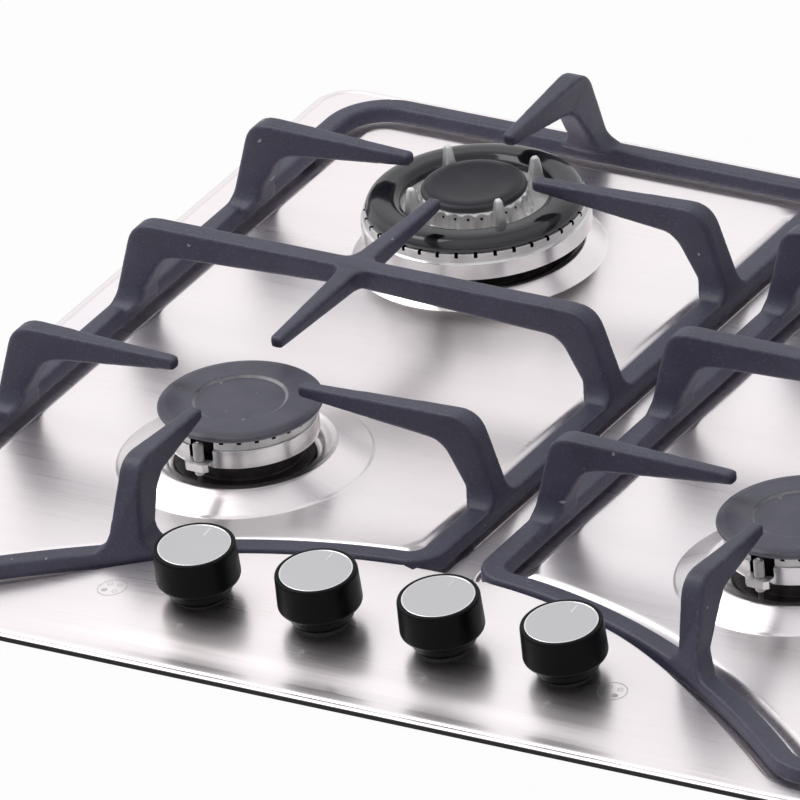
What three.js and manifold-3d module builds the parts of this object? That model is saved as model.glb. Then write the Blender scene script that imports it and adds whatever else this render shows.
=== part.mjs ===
// Built-in gas cooktop, 590 x 520 mm, with four burners, four push-and-turn knobs and two
// cast pan supports. Millimetres. X to the right, Y to the back, Z up. The origin is under the
// middle of the casing's flat bottom.
import * as THREE from 'three';
import { mergeVertices } from 'three/addons/utils/BufferGeometryUtils.js';
import Module from 'manifold-3d';

const wasm = await Module();
wasm.setup();

// ---------------------------------------------------------------- driving dimensions
const GAP = 0.3;                    // air left between two pieces that touch
const PLATE_W = 590;                // pressed steel top plate, left to right
const PLATE_D = 520;                // front to back
const PLATE_CORNER = 18;
const SHEET = 1.2;                  // plate thickness, bends included
const WORKTOP_Z = 50;               // top of the worktop that the hob drops into
const SKIRT_Z = 52;                 // lower edge of the plate's folded rim
const BORDER_Z = 58;                // flat border round the plate
const FLOOR_Z = 56;                 // floor of the two pressed wells
const CREST_RISE = 8;               // the control panel's height over the border, at its rear edge
const PANEL_FRONT_Y = -252;
const PANEL_HALF_W = 195;

const CASING_W = 552;
const CASING_D = 482;
const CASING_WALL = 1;
const CASING_TOP_Z = FLOOR_Z - SHEET - GAP;
const RECESS_W = 62;                // corner recess of the casing, round the gas inlet
const RECESS_D = 40;

const BURNER_X = 145;               // left and right burner columns
const ROW_FRONT_Y = -77.5;
const ROW_MID_Y = 29;
const ROW_REAR_Y = 135.5;

const RAIL_INNER_X = 15.5;          // centre lines of a pan support's frame
const RAIL_OUTER_X = 268.5;
const RAIL_BACK_Y = 241;
const BOW_APEX_Y = -138;            // the front rails follow one bow over both pan supports
const BOW_CURVE = 0.00198;
const INNER_RADIUS = 12;            // corners of the frame, on the rail's centre line
const FRONT_RADIUS = 30;
const BACK_RADIUS = 24;
const RAIL_BOTTOM_Z = 58;
const RAIL_TOP_Z = 66;
const RAIL_HALF = 6;
const FINGER_TOP_Z = 107.3;
const TIP_DROP = 2.5;
const TIP_RADIUS = 32.5;            // finger tips stop this far from the burner's axis
const LEG_LEAN = 0.265;             // how far a leg leans inwards for each millimetre of height
const LEG_THICK = 14.6;

const KNOB_PITCH = 63;
const KNOB_Y = -202;                // where the knobs' axes cross the panel
const KNOB_TILT = 5;                // degrees towards the front, square to the sloping panel
const PANEL_Z = 63.5;               // height of the panel at the knobs
const KNOB_R = 19;
const KNOB_TOP_Z = 90;
const KNOB_BASE_Z = 67;
const PRESS_TRAVEL = 2;
const STEM_R = 4;

// ---------------------------------------------------------------- finishes
function finish(color, roughness, metalness) {
  return new THREE.MeshStandardMaterial({ color, roughness, metalness });
}
const STEEL = () => finish(0xcfcbc9, 0.32, 1.0);
const CAST_IRON = () => finish(0x3b3945, 0.72, 0.1);
const ENAMEL = () => finish(0x4a4852, 0.55, 0.1);
const GLOSS_ENAMEL = () => finish(0x2a292f, 0.12, 0.1);
const ALUMINIUM = () => finish(0xc9c9cc, 0.3, 1.0);
const BRASS = () => finish(0xb6985a, 0.35, 1.0);
const KNOB_BLACK = () => finish(0x141517, 0.35, 0.0);
const GALVANISED = () => finish(0x9da1a4, 0.5, 1.0);
const RUBBER = () => finish(0x1b1b1c, 0.85, 0.0);
const CERAMIC = () => finish(0xf2efe8, 0.3, 0.0);

const cooktop = new THREE.Group();

// ---------------------------------------------------------------- solids
// Turns a closed geometry into a solid whose faces point out.
function solid(geometry) {
  const bare = geometry.index ? geometry.toNonIndexed() : geometry.clone();
  for (const name of Object.keys(bare.attributes)) {
    if (name !== 'position') bare.deleteAttribute(name);
  }
  const merged = mergeVertices(bare, 1e-4);
  const at = merged.attributes.position;
  const index = merged.index.array;
  const kept = [];
  let volume = 0;
  const a = new THREE.Vector3();
  const b = new THREE.Vector3();
  const c = new THREE.Vector3();
  for (let i = 0; i < index.length; i += 3) {
    const [p, q, r] = [index[i], index[i + 1], index[i + 2]];
    if (p === q || q === r || r === p) continue;
    kept.push(p, q, r);
    b.fromBufferAttribute(at, q).cross(c.fromBufferAttribute(at, r));
    volume += a.fromBufferAttribute(at, p).dot(b);
  }
  if (volume < 0) {
    for (let i = 0; i < kept.length; i += 3) [kept[i], kept[i + 1]] = [kept[i + 1], kept[i]];
  }
  return new wasm.Manifold(new wasm.Mesh({
    numProp: 3,
    vertProperties: Float32Array.from(at.array),
    triVerts: Uint32Array.from(kept),
  }));
}

function join(solids) {
  return solids.reduce((whole, next) => whole.add(next));
}

function cut(body, tools) {
  return body.subtract(join(tools));
}

function geometryOf(body) {
  const { vertProperties, triVerts } = body.getMesh();
  const geometry = new THREE.BufferGeometry();
  geometry.setAttribute('position', new THREE.BufferAttribute(vertProperties, 3));
  geometry.setIndex(new THREE.BufferAttribute(triVerts, 1));
  geometry.computeVertexNormals();
  return geometry;
}

function piece(name, body, material, parent = cooktop) {
  const mesh = new THREE.Mesh(geometryOf(body), material);
  mesh.name = name;
  parent.add(mesh);
  return mesh;
}

// A surface through closed loops of equal length: capped at its ends, or closed on itself.
function skin(loops, ring = false) {
  const count = loops[0].length;
  const positions = loops.flat().flatMap(([x, y, z]) => [x, y, z]);
  const index = [];
  const bands = ring ? loops.length : loops.length - 1;
  for (let j = 0; j < bands; j++) {
    const low = j * count;
    const high = ((j + 1) % loops.length) * count;
    for (let i = 0; i < count; i++) {
      const k = (i + 1) % count;
      index.push(low + i, low + k, high + k, low + i, high + k, high + i);
    }
  }
  if (!ring) {
    const flat = (loop) => loop.map(([x, y]) => new THREE.Vector2(x, y));
    const last = (loops.length - 1) * count;
    for (const [p, q, r] of THREE.ShapeUtils.triangulateShape(flat(loops[0]), [])) index.push(p, r, q);
    for (const [p, q, r] of THREE.ShapeUtils.triangulateShape(flat(loops.at(-1)), [])) {
      index.push(last + p, last + q, last + r);
    }
  }
  const geometry = new THREE.BufferGeometry();
  geometry.setAttribute('position', new THREE.Float32BufferAttribute(positions, 3));
  geometry.setIndex(index);
  return solid(geometry);
}

// A surface through loops whose two ends are convex, each filled as a fan from its first point.
function fanSkin(loops) {
  const count = loops[0].length;
  const positions = loops.flat(2);
  const index = [];
  for (let j = 0; j + 1 < loops.length; j++) {
    for (let i = 0; i < count; i++) {
      const k = (i + 1) % count;
      const [low, high] = [j * count, (j + 1) * count];
      index.push(low + i, low + k, high + k, low + i, high + k, high + i);
    }
  }
  const last = (loops.length - 1) * count;
  for (let i = 1; i + 1 < count; i++) index.push(0, i + 1, i, last, last + i, last + i + 1);
  const geometry = new THREE.BufferGeometry();
  geometry.setAttribute('position', new THREE.Float32BufferAttribute(positions, 3));
  geometry.setIndex(index);
  return solid(geometry);
}

const lift = (outline, z) => outline.map(([x, y]) => [x, y, z]);

function prism(outline, z0, z1) {
  return skin([lift(outline, z0), lift(outline, z1)]);
}

// A turned piece about a vertical axis, from a profile of [radius, height] points.
function turned(profile, sides, x = 0, y = 0) {
  const points = profile.map(([r, z]) => new THREE.Vector2(r, z));
  const closed = profile[0][0] > 0 ? [...points, points[0]] : points;
  const geometry = new THREE.LatheGeometry(closed, sides);
  return solid(geometry.rotateX(Math.PI / 2).translate(x, y, 0));
}

function rod(r, z0, z1, x = 0, y = 0, sides = 16) {
  return turned([[0, z0], [r, z0], [r, z1], [0, z1]], sides, x, y);
}

function block(x0, x1, y0, y1, z0, z1) {
  const geometry = new THREE.BoxGeometry(x1 - x0, y1 - y0, z1 - z0);
  return solid(geometry.translate((x0 + x1) / 2, (y0 + y1) / 2, (z0 + z1) / 2));
}

function roundedRect(halfW, halfD, radius, steps = 3) {
  const points = [];
  const corners = [[1, 1, 0], [-1, 1, 90], [-1, -1, 180], [1, -1, 270]];
  for (const [sx, sy, start] of corners) {
    for (let i = 0; i <= steps; i++) {
      const angle = THREE.MathUtils.degToRad(start + 90 * i / steps);
      const x = sx * (halfW - radius) + radius * Math.cos(angle);
      const y = sy * (halfD - radius) + radius * Math.sin(angle);
      points.push([x, y]);
    }
  }
  return points;
}

// A round bar along a smooth line through the given points.
function bar(points, radius, steps, sides = 8) {
  const knots = points.map((p) => new THREE.Vector3(...p));
  const line = new THREE.CatmullRomCurve3(knots, false, 'catmullrom', 0.4);
  const section = new THREE.Shape();
  for (let i = 0; i < sides; i++) {
    const angle = 2 * Math.PI * i / sides;
    const put = i === 0 ? 'moveTo' : 'lineTo';
    section[put](radius * Math.cos(angle), radius * Math.sin(angle));
  }
  const options = { steps, extrudePath: line, bevelEnabled: false, curveSegments: 1 };
  return solid(new THREE.ExtrudeGeometry(section, options));
}

// ---------------------------------------------------------------- the bow and the frame outlines
function bowY(x) {
  return BOW_APEX_Y - BOW_CURVE * x * x;
}

const bowAngle = (x) => Math.atan(2 * BOW_CURVE * x);

function arc(cx, cy, radius, from, to, steps) {
  const points = [];
  for (let i = 0; i <= steps; i++) {
    const angle = THREE.MathUtils.degToRad(from + (to - from) * i / steps);
    const [nx, ny] = [Math.cos(angle), Math.sin(angle)];
    points.push([cx + radius * nx, cy + radius * ny, nx, ny]);
  }
  return points;
}

// Centre line of the right pan support's frame as [x, y, normal x, normal y], anticlockwise.
function frameLine() {
  const meet = (cx, radius) => {
    let x = cx;
    for (let i = 0; i < 20; i++) x = cx - radius * Math.sin(bowAngle(x));
    const tilt = THREE.MathUtils.radToDeg(bowAngle(x));
    return { x, cy: bowY(x) + radius * Math.cos(bowAngle(x)), turn: 270 - tilt };
  };
  const inner = meet(RAIL_INNER_X + INNER_RADIUS, INNER_RADIUS);
  const outer = meet(RAIL_OUTER_X - FRONT_RADIUS, FRONT_RADIUS);
  const line = arc(RAIL_INNER_X + INNER_RADIUS, inner.cy, INNER_RADIUS, 180, inner.turn, 3);
  const spans = 7;
  for (let i = 1; i < spans; i++) {
    const x = inner.x + (outer.x - inner.x) * i / spans;
    const tilt = bowAngle(x);
    line.push([x, bowY(x), -Math.sin(tilt), -Math.cos(tilt)]);
  }
  line.push(...arc(RAIL_OUTER_X - FRONT_RADIUS, outer.cy, FRONT_RADIUS, outer.turn, 360, 5));
  line.push(...arc(RAIL_OUTER_X - BACK_RADIUS, RAIL_BACK_Y - BACK_RADIUS, BACK_RADIUS, 0, 90, 4));
  line.push(...arc(RAIL_INNER_X + INNER_RADIUS, RAIL_BACK_Y - INNER_RADIUS, INNER_RADIUS, 90, 180, 3));
  return line;
}

const FRAME_LINE = frameLine();

// The frame's outline moved outwards by off; mirrored for the left pan support.
function frameOutline(side, off) {
  const points = FRAME_LINE.map(([x, y, nx, ny]) => [side * (x + off * nx), y + off * ny]);
  return side > 0 ? points : points.reverse();
}

// ---------------------------------------------------------------- burners
const BURNERS = [
  { name: 'front_left', x: -BURNER_X, y: ROW_FRONT_Y, capR: 38, spark: -92 },
  { name: 'front_right', x: BURNER_X, y: ROW_FRONT_Y, capR: 38, spark: -92 },
  { name: 'rear_right', x: BURNER_X, y: ROW_REAR_Y, capR: 28, spark: -92 },
  { name: 'rear_left', x: -BURNER_X, y: ROW_REAR_Y, capR: 52.5, spark: 150, wok: true },
];
const CAP_TOP_Z = 90.2;
const CAP_THICK = 5;
const PLATEAU_Z = 61;
const WOK_CAP_TOP_Z = 92.2;
const WOK_HEAD_R = 55;
const SPARK_R = 2.6;
const sidesOf = (burner) => (burner.wok ? 24 : 20);

function sizesOf(burner) {
  const r = burner.capR;
  if (burner.wok) {
    return { head: WOK_HEAD_R, bore: 37.6, neck: 40, hole: 43.5, flange: 47, plateau: 63, spark: 57.7 };
  }
  return {
    head: r - 3, bore: r - 13.4, neck: r - 11, hole: r - 7.5, flange: r - 4.6, plateau: r + 4, spark: r - 1.4,
  };
}

function sparkPlace(burner) {
  const angle = THREE.MathUtils.degToRad(burner.spark);
  const reach = sizesOf(burner).spark;
  return [burner.x + reach * Math.cos(angle), burner.y + reach * Math.sin(angle)];
}

// ---------------------------------------------------------------- top plate
function panelRise(x, y) {
  const side = THREE.MathUtils.smoothstep(PANEL_HALF_W - Math.abs(x), 0, 105);
  const back = bowY(x) - 9;
  const u = THREE.MathUtils.clamp((y - PANEL_FRONT_Y) / (back - PANEL_FRONT_Y), 0, 1);
  return CREST_RISE * side * (1 - (1 - u) ** 1.8);
}

// The control panel's swelling: lower is how far its top face is moved down, inset how much it shrinks.
function panelSwell(lower, inset, bottomZ) {
  const columns = 12;
  const rows = 4;
  const loops = [];
  const half = PANEL_HALF_W - inset;
  for (let i = 0; i <= columns; i++) {
    const x = -half + 2 * half * i / columns;
    const y0 = PANEL_FRONT_Y + inset;
    const y1 = bowY(x) - (RAIL_HALF + 3 + inset) / Math.cos(bowAngle(x));
    const loop = [[x, y0, bottomZ]];
    for (let j = 0; j <= rows; j++) {
      const y = y0 + (y1 - y0) * j / rows;
      loop.push([x, y, BORDER_Z + panelRise(x, y) - lower]);
    }
    loop.push([x, y1, bottomZ]);
    loops.push(loop);
  }
  return fanSkin(loops);
}

function pressedRing(burner) {
  const s = sizesOf(burner);
  const top = [
    [s.hole, PLATEAU_Z], [s.plateau, PLATEAU_Z], [s.plateau + 12, FLOOR_Z], [s.plateau + 14.5, FLOOR_Z],
  ];
  const under = top.map(([r, z]) => [r, z - SHEET]).reverse();
  return turned([...top, ...under], 24, burner.x, burner.y);
}

function topPlate() {
  const [hw, hd] = [PLATE_W / 2, PLATE_D / 2];
  const rimProfile = [
    [0, SKIRT_Z], [0, BORDER_Z - 2.2], [0.7, BORDER_Z - 0.7], [2.2, BORDER_Z], [10, BORDER_Z],
    [10, BORDER_Z - SHEET], [2.2, BORDER_Z - SHEET], [SHEET, BORDER_Z - 2.4], [SHEET, SKIRT_Z],
  ];
  const rim = skin(rimProfile.map(([d, z]) => lift(roundedRect(hw - d, hd - d, PLATE_CORNER - d), z)), true);
  const field = block(-hw + 8, hw - 8, -hd + 8, hd - 8, BORDER_Z - SHEET, BORDER_Z);
  const swell = panelSwell(0, 0, BORDER_Z - 0.6);
  const hollow = panelSwell(SHEET, 3.2, BORDER_Z - SHEET - 1);
  const pans = [-1, 1].map((side) => skin([
    lift(frameOutline(side, 7.8), FLOOR_Z - SHEET),
    lift(frameOutline(side, 10.2), BORDER_Z - 0.6),
  ]));
  const wells = [-1, 1].map((side) => skin([
    lift(frameOutline(side, 6.6), FLOOR_Z),
    lift(frameOutline(side, 9), BORDER_Z),
    lift(frameOutline(side, 10.2), BORDER_Z + CREST_RISE + 4),
  ]));
  const openings = BURNERS.map((b) => rod(sizesOf(b).plateau + 13.5, FLOOR_Z - 6, FLOOR_Z + 6, b.x, b.y, 24));
  const sheet = cut(join([rim, field, swell, ...pans]), [hollow, ...wells, ...openings]);
  const holes = [
    ...BURNERS.map((b) => rod(SPARK_R + 0.8, 50, 66, ...sparkPlace(b), 8)),
    ...KNOB_XS.map((x) => leaned(rod(STEM_R + 2.2, 50, 75, x, KNOB_Y, 10))),
  ];
  return cut(join([sheet, ...BURNERS.map(pressedRing)]), holes);
}

// ---------------------------------------------------------------- casing, seal, clamps
function casingOutline(inset) {
  const [hw, hd] = [CASING_W / 2 - inset, CASING_D / 2 - inset];
  const x = CASING_W / 2 - RECESS_W - inset;
  const y = CASING_D / 2 - RECESS_D - inset;
  return [[-hw, -hd], [hw, -hd], [hw, y], [x, y], [x, hd], [-hw, hd]];
}

const INLET_Z = 16;
const INLET_X = 240;
const GLAND_X = 120;
const GLAND_Z = 20;

function crossways(body, x, y, z, axis = 'x') {
  const turn = axis === 'x' ? [-90, 0, 0] : [0, 90, 0];
  return body.rotate(turn).translate([x, y, z]);
}

function bottomCasing() {
  const shell = cut(prism(casingOutline(0), 0, CASING_TOP_Z), [
    prism(casingOutline(CASING_WALL), CASING_WALL, CASING_TOP_Z + 5),
  ]);
  const wallY = CASING_D / 2;
  const holes = [
    crossways(rod(9.5, -6, 6), INLET_X, wallY - RECESS_D, INLET_Z),
    crossways(rod(7.2, -6, 6), GLAND_X, wallY, GLAND_Z),
  ];
  for (let i = -2; i <= 2; i++) {
    holes.push(block(i * 32 - 110, i * 32 - 90, wallY - 6, wallY + 6, 30, 36));
  }
  return cut(shell, holes);
}

function rimSeal() {
  const ring = (inset, z) => {
    return lift(roundedRect(PLATE_W / 2 - inset, PLATE_D / 2 - inset, PLATE_CORNER - inset), z);
  };
  const top = BORDER_Z - SHEET - GAP;
  return skin([ring(2.6, WORKTOP_Z), ring(2.6, top), ring(8.6, top), ring(8.6, WORKTOP_Z)], true);
}

function worktopClamp(side) {
  const x0 = CASING_W / 2 + GAP;
  const parts = [
    block(x0, x0 + 2, -15, 15, 4, 34),
    block(x0, x0 + 15, -15, 15, 4, 6),
    rod(3, 1, 18, x0 + 10, 0, 8),
    rod(5, 1, 4.2, x0 + 10, 0, 6),
  ];
  const body = join(parts);
  return side > 0 ? body : body.mirror([1, 0, 0]);
}

// ---------------------------------------------------------------- burner pieces
function burnerCup(burner) {
  const s = sizesOf(burner);
  const headSeat = burner.wok ? 70.8 : 69.3;
  const profile = [
    [0, 22], [6, 22], [7, 24], [7, 32], [s.bore - 2, 38], [s.neck, 44], [s.neck, PLATEAU_Z + GAP],
    [s.flange, PLATEAU_Z + GAP], [s.flange, PLATEAU_Z + 2.2], [s.neck, PLATEAU_Z + 2.8], [s.neck, headSeat],
    [s.bore, headSeat], [s.bore, 44], [s.bore - 5, 41], [0, 41],
  ];
  return turned(profile, sidesOf(burner), burner.x, burner.y);
}

// Small radial slots all round, as boxes from radius r0 to r1.
function radialSlots(count, r0, r1, width, z0, z1, x, y, phase = 0) {
  const slots = [];
  for (let i = 0; i < count; i++) {
    const slot = block(r0, r1, -width / 2, width / 2, z0, z1);
    slots.push(slot.rotate([0, 0, phase + 360 * i / count]).translate([x, y, 0]));
  }
  return slots;
}

function sparkLug(burner, seatZ) {
  const s = sizesOf(burner);
  const lug = block(s.head - 3, s.spark + 4.6, -5.5, 5.5, seatZ, seatZ + 3);
  return lug.rotate([0, 0, burner.spark]).translate([burner.x, burner.y, 0]);
}

function sparkNotch(burner, z0, z1) {
  const s = sizesOf(burner);
  const notch = block(s.spark - SPARK_R - 1.2, s.head + 1, -4.2, 4.2, z0, z1);
  return notch.rotate([0, 0, burner.spark]).translate([burner.x, burner.y, 0]);
}

function burnerHead(burner) {
  const s = sizesOf(burner);
  const r = s.head;
  const top = CAP_TOP_Z - CAP_THICK - GAP;
  const profile = [
    [s.bore - 2.6, 63], [s.bore - 0.4, 63], [s.bore - 0.4, 69.6], [r - 2, 69.6], [r, 71.2], [r, 78.6],
    [r - 1.2, 79.2], [r - 1.2, top], [s.bore - 2.6, top],
  ];
  const body = join([turned(profile, sidesOf(burner), burner.x, burner.y), sparkLug(burner, 70)]);
  const [sx, sy] = sparkPlace(burner);
  return cut(body, [
    ...radialSlots(12, r - 3, r + 1, 2, top - 2.2, top + 1, burner.x, burner.y, 7.5),
    sparkNotch(burner, 73, top + 1),
    rod(SPARK_R + 0.6, 60, 90, sx, sy, 8),
  ]);
}

function burnerCap(burner) {
  const r = burner.capR;
  const low = CAP_TOP_Z - CAP_THICK;
  const plateauR = r * 0.55;
  const skirt = sizesOf(burner).bore - 3.2;
  return turned([
    [0, low], [skirt - 1.8, low], [skirt - 1.8, low - 3], [skirt, low - 3], [skirt, low], [r - 1, low],
    [r, CAP_TOP_Z - 2], [r - 2.4, CAP_TOP_Z], [plateauR + 0.8, CAP_TOP_Z],
    [plateauR, CAP_TOP_Z - 0.7], [plateauR - 0.8, CAP_TOP_Z], [0, CAP_TOP_Z],
  ], sidesOf(burner), burner.x, burner.y);
}

const WOK_PRONG_TOP_Z = 101;
const WOK_PRONG_TURN = 52;
const WOK_INNER_R = 26.5;
const WOK_RING_INNER_R = 34.2;

function prong(x, y, degrees) {
  const level = (z, r0, r1, half) => [[r0, -half, z], [r1, -half, z], [r1, half, z], [r0, half, z]];
  const fin = skin([
    level(80, 24, 33.4, 2.6),
    level(90, 26.6, 33, 2.2),
    level(96, 28.6, 32.4, 1.6),
    level(WOK_PRONG_TOP_Z, 29.2, 31.8, 1.1),
  ]);
  return fin.rotate([0, 0, degrees]).translate([x, y, 0]);
}

function wokHead(burner) {
  const s = sizesOf(burner);
  const land = WOK_CAP_TOP_Z - 6 - GAP;
  const profile = [
    [s.bore - 3, 63], [s.bore - 0.4, 63], [s.bore - 0.4, 71.1], [s.head - 1.5, 71.1], [s.head, 72.4],
    [s.head, 81.4], [s.head - 1.6, 82], [s.head - 1.6, land], [WOK_RING_INNER_R + 1, land],
    [WOK_RING_INNER_R, 83], [WOK_INNER_R + 1, 82.5], [WOK_INNER_R, 92.5], [19, 92.5], [19, 74],
    [s.bore - 3, 74],
  ];
  const prongs = [0, 90, 180, 270].map((turn) => prong(burner.x, burner.y, turn + WOK_PRONG_TURN));
  const crown = turned(profile, sidesOf(burner), burner.x, burner.y);
  const body = join([crown, sparkLug(burner, 71.4), ...prongs]);
  const [sx, sy] = sparkPlace(burner);
  return cut(body, [
    ...radialSlots(14, s.head - 4, s.head + 1, 2, land - 2.4, land + 1, burner.x, burner.y),
    ...radialSlots(8, WOK_INNER_R - 1.6, WOK_INNER_R + 1.4, 2.4, 84.5, 93, burner.x, burner.y, 7),
    sparkNotch(burner, 74.4, land + 1),
    rod(SPARK_R + 0.6, 60, 95, sx, sy, 8),
  ]);
}

function wokRingCap(burner) {
  const low = WOK_CAP_TOP_Z - 6;
  const top = WOK_CAP_TOP_Z;
  return turned([
    [WOK_RING_INNER_R, low + 0.4], [burner.capR - 1, low], [burner.capR, low + 1.4],
    [burner.capR - 1.6, top - 0.8], [burner.capR - 4, top], [WOK_RING_INNER_R + 2.6, top],
    [WOK_RING_INNER_R, top - 2],
  ], sidesOf(burner), burner.x, burner.y);
}

function wokCentreCap(burner) {
  return turned([
    [0, 92.8], [16.4, 92.8], [16.4, 90], [18.2, 90], [18.2, 92.8], [22.6, 92.8], [23.4, 93.8],
    [21.6, 95.6], [0, 96.4],
  ], sidesOf(burner), burner.x, burner.y);
}

function sparkPlug(burner) {
  const [x, y] = sparkPlace(burner);
  const under = PLATEAU_Z - SHEET - GAP;
  const top = (burner.wok ? WOK_CAP_TOP_Z - 6 : CAP_TOP_Z - CAP_THICK) - 0.6;
  return turned([
    [0, 46], [2.2, 46], [2.2, 52], [3.9, 53], [3.9, under], [SPARK_R, under], [SPARK_R, top - 2],
    [1, top], [0, top],
  ], 8, x, y);
}

// ---------------------------------------------------------------- gas line
const TAP_BOTTOM_Z = 25.7;
const TAP_TOP_Z = 50;

// Leans a tap's piece towards the front, about the point where its axis crosses the panel.
function leaned(body) {
  return body.translate([0, -KNOB_Y, -PANEL_Z]).rotate([KNOB_TILT, 0, 0]).translate([0, KNOB_Y, PANEL_Z]);
}

function leanedPoint(x, y, z) {
  const angle = THREE.MathUtils.degToRad(KNOB_TILT);
  const [dy, dz] = [y - KNOB_Y, z - PANEL_Z];
  const [sine, cosine] = [Math.sin(angle), Math.cos(angle)];
  return [x, KNOB_Y + dy * cosine - dz * sine, PANEL_Z + dy * sine + dz * cosine];
}

const MANIFOLD_R = 9;
const KNOB_XS = [-1.5, -0.5, 0.5, 1.5].map((step) => step * KNOB_PITCH);

function gasManifold() {
  const right = INLET_X;
  const route = [
    [-120, KNOB_Y], [0, KNOB_Y], [130, KNOB_Y], [right - 25, KNOB_Y], [right - 6, KNOB_Y + 8],
    [right, KNOB_Y + 28], [right, -60], [right, 60], [right, CASING_D / 2 - RECESS_D + 4],
  ];
  const pipe = bar(lift(route, INLET_Z), MANIFOLD_R, 20, 8);
  const saddles = [-KNOB_PITCH, KNOB_PITCH].map((x) => {
    return block(x - 8, x + 8, KNOB_Y - 6, KNOB_Y + 6, CASING_WALL + GAP, INLET_Z);
  });
  return join([pipe, ...saddles]);
}

// Threaded elbow in the casing's corner recess, opening to the right.
function inletElbow() {
  const y0 = CASING_D / 2 - RECESS_D + 4 + GAP;
  const yc = y0 + 12;
  const body = join([
    crossways(rod(10.5, 0, 14, 0, 0, 16), INLET_X, y0, INLET_Z),
    crossways(rod(11, -11, 11, 0, 0, 6), INLET_X, yc, INLET_Z, 'y'),
    crossways(rod(10.4, 0, 30, 0, 0, 20), INLET_X, yc, INLET_Z, 'y'),
  ]);
  return cut(body, [crossways(rod(6.5, 8, 40, 0, 0, 16), INLET_X, yc, INLET_Z, 'y')]);
}

function tapBody(x) {
  const body = join([
    block(x - 12, x + 12, KNOB_Y - 13, KNOB_Y + 13, TAP_BOTTOM_Z, TAP_TOP_Z - 5),
    rod(9.5, TAP_TOP_Z - 6, TAP_TOP_Z, x, KNOB_Y, 6),
    crossways(rod(5.5, 0, 8, 0, 0, 12), x, KNOB_Y + 12, 34),
  ]);
  const bore = turned([
    [0, TAP_BOTTOM_Z + 3], [6.4, TAP_BOTTOM_Z + 3], [7.4, TAP_TOP_Z - 6],
    [STEM_R + 0.4, TAP_TOP_Z - 5.6], [STEM_R + 0.4, TAP_TOP_Z + 1], [0, TAP_TOP_Z + 1],
  ], 12, x, KNOB_Y);
  return cut(body, [bore]);
}

const TONGUE_Z = 38;

function tapPlug(x) {
  const [low, high] = [TAP_BOTTOM_Z + 3.3, TAP_TOP_Z - 6.6];
  const cone = turned([[0, low], [6, low], [6.9, high], [0, high]], 12, x, KNOB_Y);
  const slot = block(x - 1.4, x + 1.4, KNOB_Y - 9, KNOB_Y + 9, TONGUE_Z - PRESS_TRAVEL - 1, TAP_TOP_Z);
  return cut(cone, [slot]);
}

function tapStem(x) {
  const shaft = rod(STEM_R, TAP_TOP_Z - 3.8, KNOB_TOP_Z - 6.3, x, KNOB_Y, 10);
  const flatX = x + STEM_R - 1.2;
  const flat = block(flatX, flatX + 2.2, KNOB_Y - 5, KNOB_Y + 5, KNOB_BASE_Z + 2, KNOB_TOP_Z);
  const tongue = block(x - 1, x + 1, KNOB_Y - STEM_R, KNOB_Y + STEM_R, TONGUE_Z, TAP_TOP_Z - 3.6);
  const low = rod(STEM_R, TONGUE_Z - 1, TAP_TOP_Z, x, KNOB_Y, 10);
  return cut(shaft, [flat]).add(tongue.intersect(low));
}

const DISC_R = 17.1;
const RECESS_Z = KNOB_TOP_Z - 1.2;

function knob(x) {
  const body = turned([
    [0, KNOB_BASE_Z], [14.6, KNOB_BASE_Z], [15.2, KNOB_BASE_Z + 3], [KNOB_R + 0.4, KNOB_BASE_Z + 5.8],
    [KNOB_R - 0.4, KNOB_TOP_Z - 0.8], [KNOB_R - 1, KNOB_TOP_Z], [DISC_R + GAP, KNOB_TOP_Z],
    [DISC_R + GAP, RECESS_Z], [0, RECESS_Z],
  ], 20, x, KNOB_Y);
  const flatX = x + STEM_R - 1.2 + GAP;
  const socket = cut(rod(STEM_R + GAP, KNOB_BASE_Z - 2, KNOB_TOP_Z - 6, x, KNOB_Y, 10), [
    block(flatX, flatX + 3, KNOB_Y - 6, KNOB_Y + 6, KNOB_BASE_Z + 4, KNOB_TOP_Z),
  ]);
  return cut(body, [socket]);
}

// Brushed cover disc with an engraved pointer line towards the rear, the off position.
function knobDisc(x) {
  const disc = turned([
    [0, RECESS_Z + GAP], [DISC_R, RECESS_Z + GAP], [DISC_R, KNOB_TOP_Z],
    [DISC_R - 0.4, KNOB_TOP_Z + 0.3], [0, KNOB_TOP_Z + 0.3],
  ], 20, x, KNOB_Y);
  return cut(disc, [block(x - 0.35, x + 0.35, KNOB_Y + 8, KNOB_Y + 14.6, KNOB_TOP_Z, KNOB_TOP_Z + 2)]);
}

// Aluminium pipe from a tap's outlet to the injector under a burner cup.
function gasPipe(tapX, burner) {
  const run = 12;
  const back = burner.y > 0;
  const side = Math.sign(tapX);
  const start = leanedPoint(tapX, KNOB_Y + 20 + GAP, 34);
  const middle = back
    ? [[side * 44, -120, run], [side * 62, -40, run], [side * 62, 50, run], [side * 84, 108, run]]
    : [[side * 104, -135, run], [side * 122, -104, run]];
  const out = [leanedPoint(tapX, KNOB_Y + 28, 34), [tapX, KNOB_Y + 46, 22]];
  const { x, y } = burner;
  const end = [[x - side * 14, y - 3, run], [x, y, run + 3], [x, y, 21]];
  return bar([start, ...out, ...middle, ...end], 4, back ? 22 : 14, 6);
}

// ---------------------------------------------------------------- pan supports
// A cast arm from its side outline, as points [reach, height, width]. The foot is skewed to
// follow a slanting rail.
function castArm(outline, x, y, degrees, skew = 0) {
  const faces = [-1, 1].map((k) => outline.map(([s, z, width]) => {
    const shift = z < RAIL_TOP_Z + 6 ? skew * k * width / 2 : 0;
    return [s + shift, z, k * width / 2];
  }));
  return skin(faces).rotate([90, 0, 0]).rotate([0, 0, degrees]).translate([x, y, 0]);
}

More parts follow.
